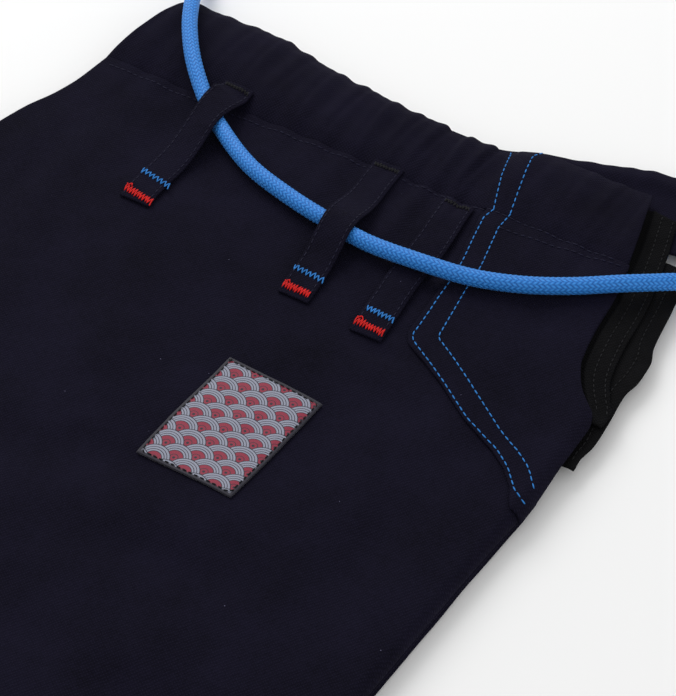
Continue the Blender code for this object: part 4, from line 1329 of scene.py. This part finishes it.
@dataclass
class ThighPatch:
    """The woven label, sewn flat on the thigh round its edge."""

    cloth: LaidCloth
    centre: tuple[float, float] = (65.7, 170.4)
    size: tuple[float, float] = (46.0, 62.5)
    turn: float = math.radians(-2.4)

    def place(self, right: np.ndarray, down: np.ndarray, lift: np.ndarray | float) -> np.ndarray:
        """Points over the patch's own directions.

        Args:
            right: Distances right of its middle.
            down: Distances below its middle.
            lift: Height over the front's cloth.

        Returns:
            Three coordinates for each place.
        """
        x = self.centre[0] + right * math.cos(self.turn) + down * math.sin(self.turn)
        drop = self.centre[1] - right * math.sin(self.turn) + down * math.cos(self.turn)
        return self.cloth.lifted(x, drop, lift)

    def build(self) -> bpy.types.Object:
        """Build the label, drawn down a little along its stitches."""
        width, height = self.size
        v, u = np.meshgrid(np.linspace(-0.5, 0.5, 88), np.linspace(-0.5, 0.5, 66), indexing="ij")
        edge = np.minimum((0.5 - np.abs(u)) * width, (0.5 - np.abs(v)) * height)
        puff = 0.25 * ease((edge - 1.2) / 3.0) + 0.08 * unevenness(u * width, v * height, 13.0, 41)
        grid = self.place(u * width, v * height, GAP + PATCH_CLOTH + puff)
        uv = np.stack([(u + 0.5) * width, (0.5 - v) * height], -1)
        finish = WovenLabel().material(width, height)
        return cloth_shell("wave_label", grid, PATCH_CLOTH, finish, uv, bulge=0.3)

    def sew(self, room: SewingRoom) -> list[bpy.types.Object]:
        """Sew the label down with black thread."""
        side, end = 0.5 * self.size[0] - 1.3, 0.5 * self.size[1] - 1.3
        ring = polyline(((-side, -end), (side, -end), (side, end), (-side, end), (-side, -end)))
        line = self.place(ring[:, 0], ring[:, 1], GAP + PATCH_CLOTH + 0.2)
        return [room.rows("label_row", [line], Yarn.BLACK, "black_cotton", pitch=2.9, length=2.3, width=0.6,
                          seed=15)]


@dataclass
class SlitFacing:
    """The black facing that shows along the slit, with the rolled ridge at its seam."""

    finish: bpy.types.Material
    reach: float = 14.0
    limit: float = 191.0
    top: float = 9.1
    lowest: float = 88.0

    def points(self, drop: np.ndarray, share: np.ndarray, lift: float = 0.0) -> np.ndarray:
        """Points on its outer face.

        Args:
            drop: Drops down the slit.
            share: Shares of its reach from the front's edge.
            lift: Height over it.

        Returns:
            Three coordinates for each place.
        """
        drop, share = np.broadcast_arrays(np.asarray(drop, float), np.asarray(share, float))
        edge = smooth(RIGHT_EDGE, drop)
        reach = np.minimum(self.reach, self.limit - edge)
        rumple = 0.22 * unevenness(edge + share * reach, drop, 12.0, 51) * np.clip(share * 3.0, 0.0, 1.0)
        rise = smooth(FACING_SECTION, share)
        return np.stack([edge + share * reach, SEAM_Y - drop, self.top + rise + rumple + lift], -1)

    def build(self) -> bpy.types.Object:
        """Build the cloth."""
        drop = np.linspace(-40.0, self.lowest, 140)[:, None]
        share = np.concatenate([np.linspace(-0.5, 0.05, 4, endpoint=False),
                                np.linspace(0.05, 0.45, 14, endpoint=False),
                                np.linspace(0.45, 1.0, 12)])[None, :]
        return cloth_shell("slit_facing_cloth", self.points(drop, share), OVERLAY_CLOTH, self.finish)

    def sew(self, room: SewingRoom) -> list[bpy.types.Object]:
        """Sew its two rows of black thread."""
        drop = np.linspace(-38.0, 80.0, 130)
        lines = [self.points(drop, np.full_like(drop, share), 0.15) for share in (0.5, 0.88)]
        return [room.rows("facing_rows", lines, Yarn.BLACK, "black_cotton", pitch=3.0, length=2.3, width=0.55,
                          seed=18)]


@dataclass
class SlitUnderlap:
    """The black piece behind the slit, which reaches past the front and ends in a tail below it."""

    finish: bpy.types.Material

    def points(self, drop: np.ndarray, share: np.ndarray, lift: float = 0.0) -> np.ndarray:
        """Points on its outer face.

        Args:
            drop: Drops down the slit.
            share: Shares of its width from the inner edge.
            lift: Height over it.

        Returns:
            Three coordinates for each place.
        """
        drop, share = np.broadcast_arrays(np.asarray(drop, float), np.asarray(share, float))
        inner, outer = smooth(UNDERLAP, drop), smooth(UNDERLAP, drop, 2)
        x = inner + (outer - inner) * share
        rise = smooth(((0.0, 0.0), (0.6, 0.0), (0.8, 0.2), (0.92, 0.1), (1.0, 0.0)), share)
        rumple = 0.12 * unevenness(x, drop, 10.0, 61)
        base = LEG_LAYER_TOP + GAP + OVERLAY_CLOTH
        return np.stack([x, SEAM_Y - drop, base + rise + rumple + lift], -1)

    def build(self) -> bpy.types.Object:
        """Build the cloth."""
        drop = np.linspace(-15.0, 113.0, 120)[:, None]
        return cloth_shell("slit_underlap_cloth", self.points(drop, np.linspace(0.0, 1.0, 40)[None, :]),
                           OVERLAY_CLOTH, self.finish, bulge=0.4)

    def sew(self, room: SewingRoom) -> list[bpy.types.Object]:
        """Sew its row of black thread near the outer edge."""
        drop = np.linspace(-12.0, 108.0, 120)
        line = self.points(drop, np.full_like(drop, 0.86), 0.15)
        return [room.rows("underlap_row", [line], Yarn.BLACK, "black_cotton", pitch=3.0, length=2.3,
                          width=0.55, seed=20)]


@dataclass
class HiddenLayers:
    """The layers under the front, one rounded body of cloth whose edge shows them one on another."""

    finish: bpy.types.Material

    def inside_roll(self, depth: np.ndarray, height: float) -> np.ndarray:
        """Inset that keeps a layer inside the front's turned-down edge at a height."""
        wall = CLOTH + GAP + 0.5
        centre = PANEL_TOP - depth
        share = np.clip((height - centre) / np.maximum(depth - wall, 0.5), 0.0, 0.999)
        inset = ROLL_WIDTH - (ROLL_WIDTH - wall) * np.sqrt(1.0 - share * share)
        return np.where(centre > height + wall, 0.0, inset)

    def outline(self, height: float, lower_inset: float) -> np.ndarray:
        """The outline at one height, as a ring of points.

        Args:
            height: Height above the floor.
            lower_inset: Inset of the lower leg's outline there.

        Returns:
            The ring, down the left side and up the right.
        """
        upper = height > LEG_LAYER_TOP
        top = 6.0 if upper else -51.0
        drop = np.concatenate([np.linspace(top, 100.0, 60, endpoint=False), np.linspace(100.0, 262.0, 44),
                               np.linspace(266.0, 320.0, 24), np.linspace(326.0, HEM_DROP - 3.0, 90)])
        slit = np.clip((142.0 - drop) / 30.0, 0.0, 1.0)
        inset = np.maximum(self.inside_roll(smooth(LEFT_ROLL, drop), height), 0.0 if upper else lower_inset)
        if upper:
            inset += np.where(drop < SLIT_BOTTOM, WAIST_INSET, 0.0)
        else:
            inset += np.where(drop < CROTCH_DROP + 10.0, CLOTH + GAP + 0.4, 0.0)
        inset += 1.6 * np.exp(-(((drop - 290.0) / 60.0) ** 2))
        inset_right = self.inside_roll(np.full_like(drop, LEG_ROLL), height) + 24.0 * slit
        if not upper:
            inset_right = lower_inset + 9.0 * slit
        end = np.maximum(0.0, drop - (HEM_DROP - 8.0)) * 0.2
        low_end = np.where((drop > HEM_DROP - 8.0) | (drop < top + 1.0), lower_inset, 0.0)
        y = SEAM_Y - drop + np.where(drop > 0.0, low_end, -low_end)
        wave = 0.25 * unevenness(drop, np.full_like(drop, height * 9.0), 34.0, 71)
        left = np.stack([smooth(LEFT_EDGE, drop) + inset + end, y, np.full_like(y, height)], -1)
        right = np.stack([smooth(RIGHT_EDGE, drop) - inset_right - end + wave,
                          y + 0.14 * np.minimum(0.0, drop), np.full_like(y, height)], -1)
        return np.concatenate([left, right[::-1]])

    def build(self) -> bpy.types.Object:
        """Build the body of cloth from its rings, with strips across its underside and top."""
        heights = np.unique(np.concatenate([np.linspace(0.0, LEG_LAYER_TOP, 25), UPPER_LAYER_HEIGHTS]))
        rings = []
        for height in heights:
            lower = height <= LEG_LAYER_TOP
            rings.append(self.outline(height, float(smooth(LOWER_LAYERS, height)) if lower else 1.7))
        count = len(rings[0])
        number = np.arange(len(rings) * count).reshape(len(rings), count)
        following = np.roll(number, -1, axis=1)
        sides = np.stack([number[:-1], following[:-1], following[1:], number[1:]], -1).reshape(-1, 4)
        half = count // 2
        left, right = number[:, :half], number[:, half:][:, ::-1]
        caps = [np.stack([left[0, :-1], right[0, :-1], right[0, 1:], left[0, 1:]], -1),
                np.stack([left[-1, :-1], left[-1, 1:], right[-1, 1:], right[-1, :-1]], -1)]
        faces = np.concatenate([sides, *caps])
        return make_object("hidden_layer_cloth", np.concatenate(rings), faces, self.finish)


@dataclass
class Drawstring:
    """The tubular braid that runs out of the back casing, over the front and through two loops."""

    finish: bpy.types.Material
    plaits: int = 16
    points_each: int = 4
    plait_pitch: float = 2.3
    plait_depth: float = 0.34
    rows: int = 1380
    real_length: float = 547.0

    def path(self, count: int) -> np.ndarray:
        """Evenly spaced points on its middle."""
        return smooth_route(CORD_ROUTE, count)

    def build(self) -> bpy.types.Object:
        """Build the braid as a tube whose surface follows its plaits."""
        path = self.path(self.rows)
        length = float(np.linalg.norm(np.diff(path, axis=0), axis=1).sum())
        LOG.info("drawstring route: %.1f mm", length)
        tangent = unit(np.gradient(path, axis=0))
        side = unit(np.cross(tangent, np.array([0.0, 0.0, 1.0])))
        rise = np.cross(side, tangent)
        around = self.plaits * self.points_each
        along = np.linspace(0.0, length, self.rows)[:, None]
        turn = np.arange(around)[None, :] / around
        column = turn * self.plaits
        local = (column % 1.0) * 2.0 - 1.0
        slant = np.where(np.floor(column) % 2 == 0, 1.0, -1.0)
        phase = along / self.plait_pitch + 0.3 * slant * local + 0.5 * (slant > 0)
        strand = np.abs(np.cos(math.pi * phase)) ** 0.7
        profile = np.sqrt(np.clip(1.0 - 0.82 * np.abs(local + 0.25) ** 2.0, 0.0, 1.0))
        plait = strand * profile
        end = np.minimum(along, length - along)
        taper = np.sqrt(np.clip(end / 2.2, 0.0, 1.0)) * 0.35 + 0.65
        radius = (0.5 * CORD - 0.22 + self.plait_depth * (plait - 0.45)) * taper
        angle = math.tau * turn
        across = np.cos(angle)[..., None] * side[:, None] + np.sin(angle)[..., None] * rise[:, None]
        grid = path[:, None] + across * radius[..., None]
        number = np.arange(self.rows * around).reshape(self.rows, around)
        following = np.roll(number, -1, axis=1)
        wall = np.stack([number[:-1], following[:-1], following[1:], number[1:]], -1).reshape(-1, 4)
        points = np.concatenate([grid.reshape(-1, 3), path[:1], path[-1:]])
        made = make_object("drawstring_braid", points, wall[:, ::-1], self.finish)
        self._close_ends(made, number)
        values = np.concatenate([plait.ravel(), [0.5, 0.5]]).astype(np.float32)
        made.data.attributes.new("plait", "FLOAT", "POINT").data.foreach_set("value", values)
        place = np.stack([np.broadcast_to(column * 6.0, plait.shape) + 3.0 * phase,
                          np.broadcast_to(along, plait.shape), np.zeros_like(plait)], -1).reshape(-1, 3)
        place = np.concatenate([place, np.zeros((2, 3))]).astype(np.float32)
        filament = made.data.attributes.new("filament", "FLOAT_VECTOR", "POINT")
        filament.data.foreach_set("vector", place.ravel())
        return made

    def _close_ends(self, piece: bpy.types.Object, number: np.ndarray) -> None:
        """Close both ends with a fan to their middle points.

        Args:
            piece: The tube, whose last two points are those middles.
            number: Numbers of the tube's points, one row for each ring.
        """
        mesh = piece.data
        first, last = len(mesh.vertices) - 2, len(mesh.vertices) - 1
        faces = [tuple(polygon.vertices) for polygon in mesh.polygons]
        for ring, middle, forward in ((number[0], first, True), (number[-1], last, False)):
            for a, b in zip(ring, np.roll(ring, -1)):
                faces.append((int(a), int(b), middle) if forward else (int(b), int(a), middle))
        points = [tuple(vertex.co) for vertex in mesh.vertices]
        mesh.clear_geometry()
        mesh.from_pydata(points, [], faces)
        mesh.shade_smooth()

    def declare(self, piece: bpy.types.Object) -> None:
        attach(piece, "root")
        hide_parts("drawstring")
        report(piece)


@dataclass
class Studio:
    """The pale floor, the soft lights and the camera at the photograph's angle."""

    eye: tuple[float, float, float] = (0.44072, -0.25967, 0.69554)
    aim: tuple[float, float, float] = (0.0785, 0.320, 0.012)
    lens: float = 120.0
    floor_half: float = 3000.0
    floor_height: float = -0.2

    def camera(self) -> None:
        """Set the camera."""
        data = bpy.data.cameras.new("camera")
        data.lens = self.lens
        data.sensor_width = 36.0
        data.clip_start = 0.01
        made = bpy.data.objects.new("camera", data)
        made.location = self.eye
        made.rotation_euler = (Vector(self.aim) - Vector(self.eye)).to_track_quat("-Z", "Y").to_euler()
        bpy.context.scene.collection.objects.link(made)
        bpy.context.scene.camera = made

    def floor(self) -> None:
        """Lay the floor just under the cloth."""
        corners = ((-1.0, -1.0), (1.0, -1.0), (1.0, 1.0), (-1.0, 1.0))
        points = np.array([(self.floor_half * x, self.floor_half * y, self.floor_height) for x, y in corners])
        made = make_object("studio_floor", points, np.array([[0, 1, 2, 3]]), PaintedFloor().material())
        made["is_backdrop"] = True

    def light(self, name: str, place: tuple[float, float, float], size: float, power: float) -> None:
        """Hang a square soft light that faces the garment.

        Args:
            name: Its name.
            place: Where it hangs, in metres.
            size: Length of its side, in metres.
            power: Its power in watts.
        """
        data = bpy.data.lights.new(name, "AREA")
        data.size = size
        data.energy = power
        made = bpy.data.objects.new(name, data)
        made.location = place
        made.rotation_euler = (Vector((0.06, 0.3, 0.0)) - Vector(place)).to_track_quat("-Z", "Y").to_euler()
        bpy.context.scene.collection.objects.link(made)

    def build(self) -> None:
        """Set the whole studio."""
        self.camera()
        self.floor()
        world = bpy.data.worlds.new("studio")
        world.use_nodes = True
        background = world.node_tree.nodes["Background"]
        background.inputs["Color"].default_value = (1.0, 1.0, 1.0, 1.0)
        background.inputs["Strength"].default_value = 0.68
        bpy.context.scene.world = world
        bpy.context.scene.view_settings.view_transform = "Standard"
        self.light("key", (-1.1, 1.2, 1.3), 1.2, 20.0)
        self.light("fill", (1.5, -0.6, 1.3), 1.8, 6.0)


def main() -> None:
    """Build every piece in order, attach it to the root, hide the solids that it stands for and log its size.
    """
    logging.basicConfig(level=logging.INFO, format="%(name)s %(message)s")
    Studio().build()
    drawstring = Drawstring(PolyesterBraid().material())
    drawstring.declare(drawstring.build())
    navy = CottonTwill("cotton_twill_navy", "#090810", "#181626").material()
    black = CottonTwill("cotton_twill_black", "#060607", "#151516", lint_colour="#303034").material()
    cloth = LaidCloth()
    room = SewingRoom()
    hidden = HiddenLayers(navy).build()
    front = FrontPanel(cloth, navy)
    hip = HipPanel(cloth, navy)
    band = FrontWaistband(cloth, navy)
    patch = ThighPatch(cloth)
    facing = SlitFacing(black)
    underlap = SlitUnderlap(black)
    sheets = [
        Declared(hidden, ("hidden_layers",), "navy_cotton", (340.0, 985.0), 275000.0, "folded", ()),
        Declared(front.build(), ("left_front_panel",), "navy_cotton", (400.0, 932.0), 275000.0, "laid",
                 ("hidden_layer_cloth",), front.sew(room)),
        Declared(hip.build(), ("left_hip_panel",), "navy_cotton", (105.0, 149.0), 10500.0, "laid",
                 ("left_front",), hip.sew(room)),
        Declared(BackWaistband(navy).build(), ("back_waistband",), "navy_cotton", (300.0, 50.0), 12500.0,
                 "gathered", ("hidden_layer_cloth",)),
        Declared(band.build(), ("front_waistband",), "navy_cotton", (285.0, 60.0), 15000.0, "gathered",
                 ("left_front",), band.sew(room)),
        Declared(patch.build(), ("thigh_patch",), "woven_patch", patch.size, 2875.0, "laid",
                 ("left_front",), patch.sew(room)),
        Declared(underlap.build(), ("slit_underlap",), "black_cotton", (44.0, 128.0), 4700.0, "laid",
                 ("hidden_layer_cloth",), underlap.sew(room)),
        Declared(facing.build(), ("slit_facing",), "black_cotton", (22.0, 128.0), 2500.0, "laid",
                 ("left_front",), facing.sew(room)),
    ]
    cord = drawstring.path(400)
    loops = (
        BeltLoop("inner_loop", "belt_loop_inner", (-49.4, -9.0), (-46.2, 79.5), True,
                 (-55.1, 61.6, -37.6, 64.6), (-54.6, 75.0, -38.6, 77.4), 81),
        BeltLoop("middle_loop", "belt_loop_middle", (37.0, -1.6), (46.0, 93.5), True,
                 (37.4, 79.1, 53.0, 79.8), (38.7, 89.6, 52.4, 89.6), 91),
        BeltLoop("outer_loop", "belt_loop_outer", (76.3, 2.9), (84.5, 97.0), False,
                 (77.2, 84.0, 91.0, 84.4), (76.6, 92.2, 91.2, 93.2), 101),
    )
    for loop in loops:
        piece = loop.build(cloth, cord, navy)
        sheets.append(Declared(piece, (loop.node,), "navy_cotton", (loop.width, 97.0), loop.width * 96.0,
                               "laid", ("left_front",), loop.sew(room)))
    for sheet in sheets:
        sheet.declare()
    LOG.info("all pieces: %d triangles", sum(triangles(piece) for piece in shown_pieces()))


if __name__ == "__main__":
    main()
